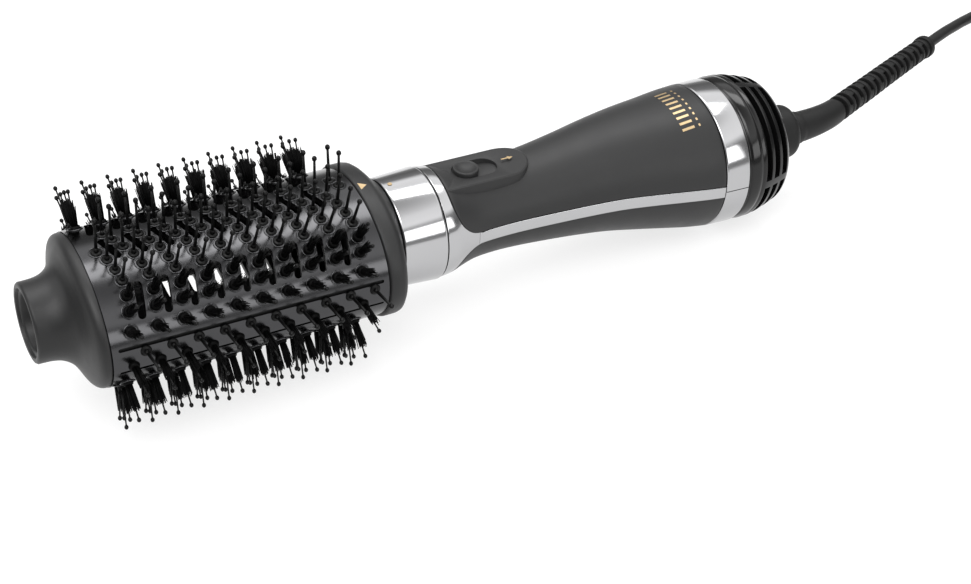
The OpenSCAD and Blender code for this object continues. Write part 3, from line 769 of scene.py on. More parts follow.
look()
studio()
cord_piece, cord_path, cord_length = cord()
relief_core, relief_ribs = boot()

# ---- The bristle head ----
def oval_at(t, a=BARREL_A, b=BARREL_B):
    """A point of the barrel's oval at parameter angle t, and its outward normal."""
    point = Vector((0, a * math.cos(t), b * math.sin(t)))
    return point, Vector((0, b * math.cos(t), a * math.sin(t))).normalized()


NOSE = [(1.2, NOSE_R - 2.6), (0.2, NOSE_R - 2.2), (0.0, NOSE_R - 1.3), (0.25, NOSE_R - 0.5), (0.9, NOSE_R)]
NOSE_FLARE = [(0.9, NOSE_R, NOSE_R), (3, NOSE_R + 0.05, NOSE_R), (6, NOSE_R + 0.25, NOSE_R + 0.1),
              (9, NOSE_R + 1.1, NOSE_R + 0.5), (11.5, NOSE_R + 2.7, NOSE_R + 1.5), (13.6, NOSE_R + 5.4, NOSE_R + 2.9),
              (15.2, 24.8, 20.5), (16.3, 28.4, 22.6), (17.3, 31.2, 24.2), (18.4, 32.9, 25.1), (19.6, 33.6, 25.5),
              (20.9, 33.75, 25.55), (21.35, 33.5, 25.4)]


def nose_cap():
    sides = 160
    inner = [(11.6, 1.0), (11.6, NOSE_R - 4.6), (10.8, NOSE_R - 4.3), (2.0, NOSE_R - 4.2), (1.3, NOSE_R - 3.6)]
    flare = [(p.x, p.y, p.z) for p in smooth_line(NOSE_FLARE, 5)]
    stations = [(x, r, r) for x, r in inner + NOSE] + flare[1:] + [(21.35, 31.5, 23.4)]
    points, faces = oval_loft(stations, sides)
    faces.append(tuple(range(sides)))
    last = (len(stations) - 1) * sides
    faces.append(tuple(range(last, last + sides)))
    made = piece("nose_cap_shell", points, faces, HEAD_GREY, "head", HEAD_TO_WORLD, 50)
    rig.replaces(made, "nose_cap")


# Air slots: column place and angle of each end, as in the design
SLOTS = [(30.6, 79.5, 34.7, 99.5), (36.9, 119, 34.7, 145.4), (31.9, 46, 29.2, 72)]
SLOT_W = 3.0
SHEET_T = 0.8


SHIFTED_ROWS = (100, 160)
SLIT_ENDS = (23.8, 127.0)
SLITS = ((164.6, 1.6), (187.0, 1.2))


def column(x0, t, k, half):
    """Place of a row's column; the rows on the far underside stand half a pitch further on."""
    return x0 + PITCH * (k + (0.5 if half and SHIFTED_ROWS[0] < t < SHIFTED_ROWS[1] else 0))


def slot_outlines():
    """Each slot as (place, angle) ends and a width; the pattern repeats half a turn on."""
    out = []
    for half in (0, 180):
        for x0, t0, x1, t1 in SLOTS:
            out += [(column(x0, t0, k, half), t0 + half, column(x1, t0, k, half), t1 + half, SLOT_W)
                    for k in range(COLUMNS - 1)]
        for t, wide in SLITS:
            out.append((SLIT_ENDS[0], t + half, SLIT_ENDS[1], t + half, wide))
    return out


def barrel_sheet():
    """Perforated oval sheet, cut flat and then rolled up."""
    roll_r = 30.0
    seam = math.radians(15)
    rows, columns = 44, 240
    width = 2 * math.pi * roll_r
    low, high = SHEET0 + 0.05, SHEET1 - 0.05
    work = bmesh.new()
    sheets = []
    for depth in (0, -SHEET_T):
        sheets.append([[work.verts.new((low + (high - low) * r / rows, width * c / columns, depth))
                        for c in range(columns + 1)] for r in range(rows + 1)])
    top, under = sheets
    for r in range(rows):
        for c in range(columns):
            work.faces.new((top[r][c], top[r + 1][c], top[r + 1][c + 1], top[r][c + 1]))
            work.faces.new((under[r][c + 1], under[r + 1][c + 1], under[r + 1][c], under[r][c]))
    for r in range(rows):
        work.faces.new((top[r][0], under[r][0], under[r + 1][0], top[r + 1][0]))
        work.faces.new((top[r + 1][columns], under[r + 1][columns], under[r][columns], top[r][columns]))
    for c in range(columns):
        work.faces.new((top[0][c + 1], under[0][c + 1], under[0][c], top[0][c]))
        work.faces.new((top[rows][c], under[rows][c], under[rows][c + 1], top[rows][c + 1]))
    plate = drafted("plate", work)
    cut = bmesh.new()
    for x0, t0, x1, t1, wide in slot_outlines():
        a = Vector((x0, ((math.radians(t0) - seam) % (2 * math.pi)) * roll_r))
        b = Vector((x1, ((math.radians(t1) - seam) % (2 * math.pi)) * roll_r))
        along = (b - a).normalized()
        across = Vector((-along.y, along.x))
        r = wide / 2
        a, b = a + along * r, b - along * r
        rim = []
        for middle, start in ((b, -90), (a, 90)):
            for k in range(9):
                q = math.radians(start + 180 * k / 8)
                rim.append(middle + along * r * math.cos(q) + across * r * math.sin(q))
        prism(cut, rim, -2, 1)
    cut_away(plate, drafted("cutter", cut))
    mesh = mesh_of(plate)
    work = bmesh.new()
    work.from_mesh(mesh)
    ends = [f for f in work.faces
            if all(v.co.y < 1e-4 for v in f.verts) or all(v.co.y > width - 1e-4 for v in f.verts)]
    bmesh.ops.delete(work, geom=ends, context="FACES_ONLY")
    for v in work.verts:
        x, s, depth = v.co
        point, out = oval_at(s / roll_r + seam)
        v.co = HEAD_TO_WORLD @ (Vector((x, 0, 0)) + point + out * depth)
    work.to_mesh(mesh)
    work.free()
    tidy(mesh, 30)
    made = finished("barrel_sheet_rolled", mesh, GUNMETAL, "head", 0.0)
    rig.replaces(made, "barrel_sheet")


PIN_ROWS = [(32.9, 75), (25 + PITCH, 82.5), (27.5, 90.8), (29.9, 98.7), (31.1, 107.5), (32, 115.9), (33.7, 170)]
NEAR_TUFTS = [(31.8, 127), (30.7, 138), (29.6, 152.2), (28.9, 182)]
FAR_TUFTS = [(26.4, 53), (26.6, 42), (27.4, 27.8)]
PIN_LEN = 15.6
TUFT_LEN = 10.4


LENGTHWISE = (HEAD_TO_WORLD.to_3x3() @ Vector((1, 0, 0))).normalized()


def stations(rows, half):
    """Place in metres and outward way in the world, and column number, of every point of the rows."""
    out = []
    for x0, t0 in rows:
        for k in range(COLUMNS):
            x = column(x0, t0, k, half)
            if x > SHEET1 - 3:
                continue
            point, way = oval_at(math.radians(t0 + half))
            at = HEAD_TO_WORLD @ (Vector((x, 0, 0)) + point)
            out.append((at, (HEAD_TO_WORLD.to_3x3() @ way).normalized(), k))
    return out


class GeoTree(Nodes):
    """A geometry node tree with named inputs."""

    def __init__(self, name, inputs):
        tree = bpy.data.node_groups.new(name, "GeometryNodeTree")
        super().__init__(tree)
        tree.interface.new_socket("Geometry", in_out="INPUT", socket_type="NodeSocketGeometry")
        self.ids = {}
        for label, (kind, value) in inputs.items():
            socket = tree.interface.new_socket(label, in_out="INPUT", socket_type="NodeSocket" + kind)
            if value is not None:
                socket.default_value = value
            self.ids[label] = socket.identifier
        tree.interface.new_socket("Geometry", in_out="OUTPUT", socket_type="NodeSocketGeometry")
        self.start = tree.nodes.new("NodeGroupInput")
        self.end = tree.nodes.new("NodeGroupOutput")

    def given(self, label="Geometry"):
        return Wire(self, self.start.outputs[label])

    def attribute(self, name, kind="FLOAT_VECTOR"):
        return self.add("GeometryNodeInputNamedAttribute", {"data_type": kind}, {"Name": name})

    def vector(self, x=0.0, y=0.0, z=0.0):
        return self.add("ShaderNodeCombineXYZ", {}, [x, y, z])

    def vmaths(self, operation, *parts):
        node = self.add("ShaderNodeVectorMath", {"operation": operation}).socket.node
        for key, value in enumerate(parts):
            target = node.inputs["Scale"] if operation == "SCALE" and key == 1 else node.inputs[key]
            if isinstance(value, Wire):
                self.tree.links.new(value.socket, target)
            else:
                target.default_value = value
        return Wire(self, node.outputs[0])

    def close(self, geometry, finish):
        real = self.add("GeometryNodeRealizeInstances", {}, {"Geometry": geometry})
        painted = self.add("GeometryNodeSetMaterial", {}, {"Geometry": real, "Material": finish})
        self.tree.links.new(painted.socket, self.end.inputs["Geometry"])
        return self.tree


def join(g, *parts):
    node = g.add("GeometryNodeJoinGeometry").socket.node
    for part in reversed(parts):
        g.tree.links.new(part.socket, node.inputs[0])
    return Wire(g, node.outputs[0])


def moved(g, geometry, offset):
    return g.add("GeometryNodeTransform", {}, {"Geometry": geometry, "Translation": offset})


def aimed(g, aim):
    return g.add("FunctionNodeAlignRotationToVector", {"axis": "Z"}, {"Vector": aim})


def cone(g, vertices, top, bottom, depth):
    return g.add("GeometryNodeMeshCone", {}, {"Vertices": vertices, "Radius Top": top, "Radius Bottom": bottom,
                                             "Depth": depth})


def planted(g, spots, shape, way, **more):
    """A copy of a shape on every point, turned to an aim."""
    return g.add("GeometryNodeInstanceOnPoints", {}, {"Points": spots, "Instance": shape,
                                                     "Rotation": aimed(g, way), **more})


def pin_tree():
    """Ball-tipped pin on a moulded root ring, one on every point, standing along the point's aim."""
    g = GeoTree("ball_pin", {"Length": ("Float", PIN_LEN * MM), "Shaft radius": ("Float", 0.55 * MM),
                             "Ball radius": ("Float", 1.0 * MM), "Root radius": ("Float", 2.3 * MM)})
    length, shaft, ball, root = (g.given(k) for k in ("Length", "Shaft radius", "Ball radius", "Root radius"))
    post = cone(g, 10, shaft * 0.85, shaft * 1.25, length - ball)
    tip = g.add("GeometryNodeTransform", {}, {"Geometry": g.add("GeometryNodeMeshUVSphere", {}, {
        "Segments": 12, "Rings": 8, "Radius": ball}), "Scale": (1, 1, 1.15)})
    neck = cone(g, 10, ball * 0.6, shaft * 0.8, ball * 1.6)
    base = cone(g, 18, root * 0.78, root, 0.7 * MM)
    foot = cone(g, 12, shaft * 1.2, shaft * 2.1, 2.2 * MM)
    whole = join(g, post, moved(g, tip, g.vector(z=length - ball * 1.15)),
                 moved(g, neck, g.vector(z=length - ball * 2.75)), moved(g, base, (0, 0, -0.2 * MM)), foot)
    spots = g.add("GeometryNodeMeshToPoints", {}, {"Mesh": g.given()})
    return g.close(planted(g, spots, whole, g.attribute("aim")), NYLON), g.ids


def tuft_tree():
    """A bundle of bristles on every point, splayed at random along the point's aim."""
    g = GeoTree("bristle_tuft", {"Bristles": ("Int", 64), "Length": ("Float", TUFT_LEN * MM),
                                 "Root spread": ("Float", 1.15 * MM), "Splay": ("Float", 0.055),
                                 "Thickness": ("Float", 0.24 * MM), "Seed": ("Int", 3)})
    spots = g.add("GeometryNodeMeshToPoints", {}, {"Mesh": g.given()})
    many = g.add("GeometryNodeDuplicateElements", {"domain": "POINT"}, {"Geometry": spots,
                                                                       "Amount": g.given("Bristles")})
    seed = g.given("Seed")

    def chance(low, high, step):
        node = g.add("FunctionNodeRandomValue", {"data_type": "FLOAT"}).socket.node
        for socket in node.inputs:
            if socket.name == "Min" and socket.type == "VALUE":
                socket.default_value = low
            if socket.name == "Max" and socket.type == "VALUE":
                socket.default_value = high
            if socket.name == "Seed":
                g.tree.links.new((seed + step).socket, socket)
        return Wire(g, next(s for s in node.outputs if s.type == "VALUE" and s.enabled))

    turn = chance(0, 2 * math.pi, 1)
    reach = g.add("ShaderNodeMath", {"operation": "SQRT"}, [chance(0, 1, 2)])
    cos = g.add("ShaderNodeMath", {"operation": "COSINE"}, [turn]) * reach
    sin = g.add("ShaderNodeMath", {"operation": "SINE"}, [turn]) * reach
    aim, side = g.attribute("aim"), g.attribute("side")
    across = g.vmaths("CROSS_PRODUCT", aim, side)
    out = g.vmaths("ADD", g.vmaths("SCALE", side, cos), g.vmaths("SCALE", across, sin))
    shifted = g.add("GeometryNodeSetPosition", {}, {"Geometry": many,
                                                   "Offset": g.vmaths("SCALE", out, g.given("Root spread"))})
    wild = g.vmaths("ADD", g.vmaths("SCALE", side, chance(-0.05, 0.05, 3)),
                    g.vmaths("SCALE", across, chance(-0.05, 0.05, 4)))
    way = g.vmaths("ADD", g.vmaths("ADD", aim, g.vmaths("SCALE", out, g.given("Splay"))), wild)
    thickness = g.given("Thickness")
    bristle = cone(g, 4, thickness * 0.55, thickness, g.given("Length"))
    grown = g.vector(1.0, 1.0, chance(0.8, 1.08, 5))
    placed = planted(g, shifted, bristle, way, Scale=grown)
    boss = cone(g, 20, 1.75 * MM, 2.3 * MM, 1.5 * MM)
    roots = planted(g, spots, moved(g, boss, (0, 0, -0.3 * MM)), aim)
    return g.close(join(g, placed, roots), BRISTLE), g.ids


def rim_tree():
    """A low rim pressed up in the sheet round every root."""
    g = GeoTree("pressed_rim", {"Radius": ("Float", 2.65 * MM), "Height": ("Float", 0.3 * MM)})
    radius, height = g.given("Radius"), g.given("Height")
    ring = g.add("GeometryNodeMeshCircle", {}, {"Vertices": 24, "Radius": radius})
    wire = g.add("GeometryNodeCurvePrimitiveCircle", {"mode": "RADIUS"}, {"Resolution": 6, "Radius": height})
    path = g.add("GeometryNodeMeshToCurve", {}, {"Mesh": ring})
    swept_ring = g.add("GeometryNodeCurveToMesh", {}, {"Curve": path, "Profile Curve": wire})
    spots = g.add("GeometryNodeMeshToPoints", {}, {"Mesh": g.given()})
    return g.close(planted(g, spots, swept_ring, g.attribute("aim")), GUNMETAL), g.ids


def grow(name, spots, tree, values, body, node, finish):
    """Runs a tree over points that carry their aim and side, and keeps the plain mesh."""
    group, ids = tree
    mesh = bpy.data.meshes.new(name)
    mesh.from_pydata([at for at, _, _ in spots], [], [])
    for label, rows in (("aim", [way for _, way, _ in spots]), ("side", [LENGTHWISE] * len(spots))):
        layer = mesh.attributes.new(label, "FLOAT_VECTOR", "POINT")
        layer.data.foreach_set("vector", [c for row in rows for c in row])
    made = linked(name, mesh)
    growth = made.modifiers.new("growth", "NODES")
    growth.node_group = group
    for label, value in values.items():
        growth[ids[label]] = value
    bake(made)
    for face in made.data.polygons:
        face.use_smooth = True
    for layer in [a.name for a in made.data.attributes if a.name in ("aim", "side")]:
        made.data.attributes.remove(made.data.attributes[layer])
    paint(made.data, finish)
    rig.ride(made, body)
    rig.slot(made, SLOT_OF[finish])
    if node:
        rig.replaces(made, node)
    return made


def companion_pins(rows, half, shifts):
    """Longer pins that stand in each tuft, each leaning its own way."""
    out = []
    for at, way, k in stations(rows, half):
        across = way.cross(LENGTHWISE)
        for u, v, lean_u, lean_v in shifts:
            shift = (LENGTHWISE * u + across * v) * MM
            out.append((at + shift, (way + LENGTHWISE * lean_u + across * lean_v).normalized(), k))
    return out


def bristles():
    pins, tufts, rims = pin_tree(), tuft_tree(), rim_tree()
    slender = {"Shaft radius": 0.34 * MM, "Ball radius": 0.8 * MM, "Root radius": 1.2 * MM}
    # Sideways shifts and leans of a tuft's own pins, and their lengths
    three = [((-0.3, 0.5, -0.13, 0.03), 16.6), ((0.7, -0.2, -0.05, -0.05), 14.4),
             ((-0.9, -0.6, -0.2, -0.08), 13.2)]
    one = ((0.0, -0.3, 0.0, -0.03), 15.2)
    for label, half in (("top", 0), ("bottom", 180)):
        grow("pins_" + label + "_field", stations(PIN_ROWS, half), pins, {}, "head", "pins_" + label, NYLON)
        for k, (shift, length) in enumerate(three):
            long_pins = companion_pins(FAR_TUFTS[1:2], half, [shift])
            grow("long_pins_%s_%d" % (label, k), long_pins, pins, {**slender, "Length": length * MM}, "head", None,
                 NYLON)
        single = companion_pins(FAR_TUFTS[:1] + FAR_TUFTS[2:] + NEAR_TUFTS, half, [one[0]])
        grow("long_pins_" + label, single, pins, {**slender, "Length": one[1] * MM}, "head", None, NYLON)
        rimmed = stations(PIN_ROWS[:-1] + NEAR_TUFTS[:3] + FAR_TUFTS, half)
        grow("pressed_rims_" + label, rimmed, rims, {}, "head", None, GUNMETAL)
    sets = {"tufts_near_top": (NEAR_TUFTS, 0), "tufts_far_top": (FAR_TUFTS, 0),
            "tufts_near_bottom": (FAR_TUFTS, 180), "tufts_far_bottom": (NEAR_TUFTS, 180)}
    for seed, (node, (rows, half)) in enumerate(sets.items()):
        grow(node + "_bundles", stations(rows, half), tufts, {"Seed": 10 + 7 * seed}, "head", node, BRISTLE)


def flange_and_spigot():
    flange = [(0.1, 33.2, 24.2), (0.1, 34.9, 25.7), (0.35, 35.45, 26.2), (0.9, 35.7, 26.4), (3.4, 35.7, 26.4),
              (5.4, 35.65, 26.35), (6.6, 35.2, 26.2), (7.8, 33.6, 25.4), (9, 30.8, 24.1), (10.2, 27, 22.7),
              (11.2, 23.8, 21.9), (11.8, 22.2, 21.6), (12.0, 21.6, 21.3), (12.02, 18.7, 18.7)]
    sides = 160
    points, _ = oval_loft([(SHEET1 + x, a, b) for x, a, b in flange], sides)
    faces = closed_faces(len(flange), sides)
    made = piece("rear_flange_shell", points, faces, HEAD_GREY, "head", HEAD_TO_WORLD, 50)
    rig.replaces(made, "rear_flange")


def decal(name, outline, surface, body, turn=TO_WORLD, lift=0.06):
    """A thin printed mark: an outline of (place, sideways) laid on a surface by a function."""
    top = [surface(x, y, lift) for x, y in outline]
    low = [surface(x, y, -0.05) for x, y in outline]
    n = len(outline)
    faces = [tuple(range(n)), tuple(range(n, 2 * n))] + [(k, (k + 1) % n, n + (k + 1) % n, n + k) for k in range(n)]
    return piece(name, top + low, faces, GOLD, body, turn, 30)


# ---- The handle ----
# Place behind the collar, radius and lift of the handle's middle, as in the design
HANDLE = [(0, 22.6, 0), (5, 22, 0), (10, 20.4, 0), (17, 18.8, 0.1), (26, 18.3, 0.2), (36, 18.7, 0.5),
          (50, 19.9, 0.9), (64, 21.6, 1.5), (78, 23.7, 2), (92, 26, 1.7), (106, 28.1, 0.9), (116, 29.6, 0.4),
          (123.8, 30.4, 0)]
HANDLE_LINE = smooth_line(HANDLE, 8)
STRIP_HALF = 2.6


def handle_at(x, q, inset=0.0):
    """A point of the handle's skin at a place behind the collar and an angle in radians."""
    for a, b in zip(HANDLE_LINE, HANDLE_LINE[1:]):
        if a.x <= x <= b.x + 1e-6:
            f = (x - a.x) / (b.x - a.x)
            r, lift = a.y + (b.y - a.y) * f - inset, a.z + (b.z - a.z) * f
            return Vector((SHELL0 + x, r * math.cos(q), lift + r * math.sin(q)))
    return Vector((SHELL0 + x, (HANDLE[-1][1] - inset) * math.cos(q), (HANDLE[-1][1] - inset) * math.sin(q)))


def shell_front(q):
    """How far back the grey shells start at an angle: near the collar on top and under, swept back at the sides."""
    top_start, side_start = 4.6, 17.5
    away = min(abs((q % math.pi)), abs(math.pi - (q % math.pi)))
    share = min(1.0, max(0.0, (away - 0.14) / 0.95))
    return side_start - (side_start - top_start) * (1 - (1 - share) ** 2.6) ** 0.55


def patch(name, front, back, from_q, to_q, inset, thick, finish, rows=70, columns=72, bevel=0.0, node=None):
    """A curved shell between two edges along the handle and two angles, with its wall."""
    outer, inner = [], []
    for r in range(rows + 1):
        share = r / rows
        for c in range(columns + 1):
            x_low, x_high = front(c / columns), back(c / columns)
            x = x_low + (x_high - x_low) * share
            q = from_q(x) + (to_q(x) - from_q(x)) * c / columns
            outer.append(handle_at(x, q, inset))
            inner.append(handle_at(x, q, inset + thick))
    n = columns + 1
    points = outer + inner
    half = len(outer)
    faces = grid_faces(rows + 1, n, False)
    faces += [tuple(half + v for v in reversed(f)) for f in grid_faces(rows + 1, n, False)]
    rim = [(r * n, (r + 1) * n) for r in range(rows)] + [(rows * n + c, rows * n + c + 1) for c in range(columns)]
    rim += [((r + 1) * n + columns, r * n + columns) for r in reversed(range(rows))]
    rim += [(c + 1, c) for c in reversed(range(columns))]
    faces += [(a, b, half + b, half + a) for a, b in rim]
    made = piece(name, points, faces, finish, "handle", TO_WORLD, 40, bevel)
    if node:
        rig.replaces(made, node)
    return made


def strip_angle(x):
    return (STRIP_HALF + 0.12) / (handle_at(x, 0) - Vector((SHELL0 + x, 0, handle_at(x, 0).z))).length


SHELL_BACK = 123.4
PAD_TOP = 21.1
PAD_HALF = 10.4
PAD_X1 = 204.4
KNOB_X = 177.7
KNOB_R = 5.2
KNOB_TRAVEL = 7.6
WELL_R = 5.65


def stadium(x0, x1, r, steps=14, front_flat=False):
    """An outline with a round rear end, and a round front end unless it is flat."""
    rear = [(x1 + r * math.sin(math.pi * k / steps), -r * math.cos(math.pi * k / steps)) for k in range(steps + 1)]
    if front_flat:
        return [(x0, -r)] + rear + [(x0, r)]
    return rear + [(x0 - r * math.sin(math.pi * k / steps), r * math.cos(math.pi * k / steps))
                   for k in range(steps + 1)]


def shells():
    for name, start in (("top_shell", 0), ("bottom_shell", math.pi)):
        def low(x, base=start):
            return base + strip_angle(x)

        def high(x, base=start):
            return base + math.pi - strip_angle(x)

        def front(c, base=start):
            return shell_front(base + 0.15 + (math.pi - 0.3) * c)
        patch(name + "_skin", front, lambda c: SHELL_BACK, low, high, 0.0, 2.2, SOFT_GREY, bevel=0.25, node=name)


PAD_CROWN = 0.012


def switch_pad():
    """Raised flat pad with a round-ended well for the knob; its sides run down into the shell."""
    front = SHELL0 + 4.9
    rim = stadium(front, PAD_X1 - PAD_HALF, PAD_HALF, 20, True)
    work = bmesh.new()

    def height(y, z):
        return z - PAD_CROWN * y * y

    levels = [(0.0, 12.0), (0.0, PAD_TOP - 0.75), (0.22, PAD_TOP - 0.25), (0.75, PAD_TOP)]
    rings = []
    for inset, z in levels:
        ring = []
        for i, (x, y) in enumerate(rim):
            edge = (Vector(rim[(i + 1) % len(rim)]) - Vector(rim[i - 1])).normalized()
            out = Vector((edge.y, -edge.x))
            if x <= front + 1e-6:
                out = Vector((0, 1 if y > 0 else -1))
            p = Vector((x, y)) - out * inset
            ring.append(work.verts.new((p.x, p.y, height(p.y, z) if z > 15 else z)))
        rings.append(ring)
    n = len(rim)
    for a, b in zip(rings, rings[1:]):
        for k in range(n):
            work.faces.new((a[k], a[(k + 1) % n], b[(k + 1) % n], b[k]))
    work.faces.new(rings[-1])
    work.faces.new(list(reversed(rings[0])))
    block = drafted("pad", work)
    cut = bmesh.new()
    prism(cut, stadium(KNOB_X, KNOB_X + KNOB_TRAVEL, WELL_R, 16), PAD_TOP - 3.4, PAD_TOP + 3)
    cut_away(block, drafted("well", cut), (0.25, 60))
    mesh = mesh_of(block)
    mesh.transform(TO_WORLD)
    tidy(mesh, 30)
    finished("switch_pad", mesh, SOFT_GREY, "handle")


def knob():
    """Round sliding knob with a dished top and a thin rim round it."""
    dish = 1.6
    top = PAD_TOP + 0.45
    floor = PAD_TOP - 3.2
    rings = [(0.02, top - dish), (1.5, top - dish * 0.9), (3.0, top - dish * 0.6), (4.0, top - dish * 0.22),
             (4.5, top - 0.02), (4.85, top - 0.05), (5.1, top - 0.3), (KNOB_R, top - 0.7), (KNOB_R, floor),
             (0.02, floor)]
    points, faces = upright(KNOB_X, rings, 64)
    made = piece("switch_knob_cap", points, faces, SOFT_GREY, "switch", TO_WORLD, 50)
    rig.replaces(made, "switch_knob")


def yoke():
    """Bright cap behind the collar, with an arm along each side that runs to the rear ring."""
    sides = 240
    rows = 16
    points, faces = [], []
    for inset in (0.0, 2.2):
        base = len(points)
        for r in range(rows + 1):
            for k in range(sides):
                q = 2 * math.pi * k / sides
                x_end = shell_front(q) - 0.45
                points.append(handle_at(0.05 + (x_end - 0.05) * r / rows, q, inset))
        faces += grid_faces(rows + 1, sides, True, base)
    half = len(points) // 2
    faces += [(k, (k + 1) % sides, half + (k + 1) % sides, half + k) for k in range(sides)]
    end = rows * sides
    faces += [(end + (k + 1) % sides, end + k, half + end + k, half + end + (k + 1) % sides) for k in range(sides)]
    cap = piece("front_yoke_cap", points, faces, CHROME, "handle", TO_WORLD, 40, 0.2)
    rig.replaces(cap, "front_yoke")
    for label, middle in (("far", 0.0), ("near", math.pi)):
        def low(x, base=middle):
            return base - STRIP_HALF / strip_radius(x)

        def high(x, base=middle):
            return base + STRIP_HALF / strip_radius(x)
        patch("side_strip_" + label, lambda c: 15.2, lambda c: SHELL_BACK, low, high, -0.22, 2.4, CHROME,
              rows=80, columns=10, bevel=0.3)


def strip_radius(x):
    return (handle_at(x, math.pi / 2) - handle_at(x, -math.pi / 2)).length / 2


def rings_and_collar():
    collar = rounded([(FLANGE1 + 0.3, 20.3), (FLANGE1 + 0.3, 21.6), (FLANGE1 + 0.8, 22.0), (COLLAR1 - 0.7, 23.0),
                      (COLLAR1, 22.6), (COLLAR1, 20.3)], 0.35)
    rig.replaces(turned(collar, CHROME, "lock_collar_ring", "lock_ring", sides=160), "lock_collar")
    for label, start in (("top", 0), ("bottom", 180)):
        ring = rounded([(RING0 + 0.1, 27.8), (RING0 + 0.1, 30.1), (RING0 + 0.6, 30.55), (RING1 - 0.5, 30.85),
                        (RING1 - 0.05, 30.4), (RING1 - 0.05, 27.8)], 0.25)
        made = turned(ring, CHROME, "rear_ring_" + label + "_band", "handle", sides=120,
                      span=(start + 0.35, start + 179.65))
        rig.replaces(made, "rear_ring_" + label)


GRILLE_ROWS = (RING1 + 10, RING1 + 14.6, RING1 + 19.2)
GRILLE_SLOT = 3.0
BRIDGES = 4
BRIDGE_HALF = 3.2


def grille():
    """Glossy inlet cap: a smooth lip, then three broken slots between thin ribs, and a round rear edge."""
    outer = [(RING1 + 0.1, 29.6), (RING1 + 0.9, 30.1), (RING1 + 1.4, 29.9), (RING1 + 2.0, 30.3),
             (RING1 + 3.6, 30.7), (RING1 + 5.4, 30.9), (RING1 + 6.6, 30.6), (RING1 + 7.2, 30.7),
             (RING1 + 8.2, 30.8), (RING1 + 10, 30.6),
             (RING1 + 13, 29.95), (RING1 + 16.6, 28.95), (RING1 + 20.0, 27.9), (RING1 + 21.8, 27.0),
             (RING1 + 23.2, 25.4), (INLET1 - 0.3, 23.2), (INLET1 - 0.05, 21.0)]
    line = [(p.x, p.y) for p in smooth_line([(x, r, 0) for x, r in outer], 4)]
    back = [(INLET1 - 0.05, 8.85), (INLET1 - 2.3, 8.85), (INLET1 - 2.3, 20.6), (INLET1 - 4.0, 23.4),
            (RING1 + 17, 25.2), (RING1 + 12, 26.6), (RING1 + 6, 26.4), (RING1 + 0.1, 26.4)]
    made = turned(line + back, GLOSS, "inlet_cap", "handle", sides=192, sharp=32)
    cut = bmesh.new()
    for x in GRILLE_ROWS:
        for bay in range(BRIDGES):
            start = 3 + 90 * bay + BRIDGE_HALF
            span = 90 - 2 * BRIDGE_HALF
            steps = 36
            rounded_slot = rounded([(x - GRILLE_SLOT / 2, 20.0), (x - GRILLE_SLOT / 2, 34.0),
                                    (x + GRILLE_SLOT / 2, 34.0), (x + GRILLE_SLOT / 2, 20.0)], 0.01, 1)
            n = len(rounded_slot)
            verts = []
            for k in range(steps + 1):
                q = math.radians(start + span * k / steps)
                verts.append([cut.verts.new(TO_WORLD @ Vector((px, r * math.cos(q), r * math.sin(q))))
                              for px, r in rounded_slot])
            for a, b in zip(verts, verts[1:]):
                for i in range(n):
                    cut.faces.new((a[i], a[(i + 1) % n], b[(i + 1) % n], b[i]))
            cut.faces.new(verts[0])
            cut.faces.new(list(reversed(verts[-1])))
    cut_away(made, drafted("slots", cut), (0.35 * MM, 55))
    tidy(made.data, 32)
    paint(made.data, GLOSS)
    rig.replaces(made, "inlet_grille")


def gland():
    profile = rounded([(INLET1 - 4.3, 0.4), (INLET1 - 4.3, 10.6), (INLET1 - 2.7, 10.6), (INLET1 - 2.7, 8.7),
                       (INLET1 + 0.1, 8.7), (INLET1 + 0.15, GLAND_R - 0.4), (GLAND1 - 2.1, GLAND_R - 0.1, 1.2),
                       (GLAND1, GLAND_R - 1.6, 1.4), (GLAND1, 0.4)], 0.4, 4)
    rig.replaces(turned(profile, RUBBER, "swivel_gland_turned", "cord", sides=96), "swivel_gland")


def marks():
    """Gold print: an arrow on the flange, one by the switch, a dot on the collar and a plain ornament."""

    def on_flange(x, y, lift):
        t = math.pi / 2 + y / 34.0
        return oval_at(t, 35.7 + lift, 26.4 + lift)[0] + Vector((SHEET1 + x, 0, 0))
    decal("flange_arrow", [(1.6, -1.9), (4.6, 0), (1.6, 1.9)], on_flange, "head", HEAD_TO_WORLD)

    def on_collar(x, y, lift):
        r = 22.12 + x * 0.054 + lift
        q = math.pi / 2 - y / r
        return Vector((FLANGE1 + x, r * math.cos(q), r * math.sin(q)))
    dot = [(3.4 + 0.9 * math.cos(k * math.pi / 8), 0.9 * math.sin(k * math.pi / 8)) for k in range(16)]
    decal("collar_dot", dot, on_collar, "lock_ring")

    def on_pad(x, y, lift):
        return Vector((x, y, PAD_TOP - PAD_CROWN * y * y + lift))
    decal("switch_arrow", [(193.4, -0.35), (196.4, -0.35), (196.4, -1.1), (198.6, 0), (196.4, 1.1), (196.4, 0.35),
                           (193.4, 0.35)], on_pad, "handle")

    def on_shell(x, y, lift):
        here = handle_at(x, math.pi / 2)
        r = strip_radius(x) + lift
        q = math.pi / 2 + y / r
        return Vector((SHELL0 + x, r * math.cos(q), here.z - strip_radius(x) + r * math.sin(q)))
    for k in range(9):
        low = -7.6 + 2.9 * k
        high = low + 1.1
        for mark, x0, x1 in (("bar", 108.6, 114.2), ("dash", 116.2, 117.0)):
            decal("ornament_%s_%d" % (mark, k), [(x0, low), (x1, low), (x1, high), (x0, high)], on_shell, "handle")


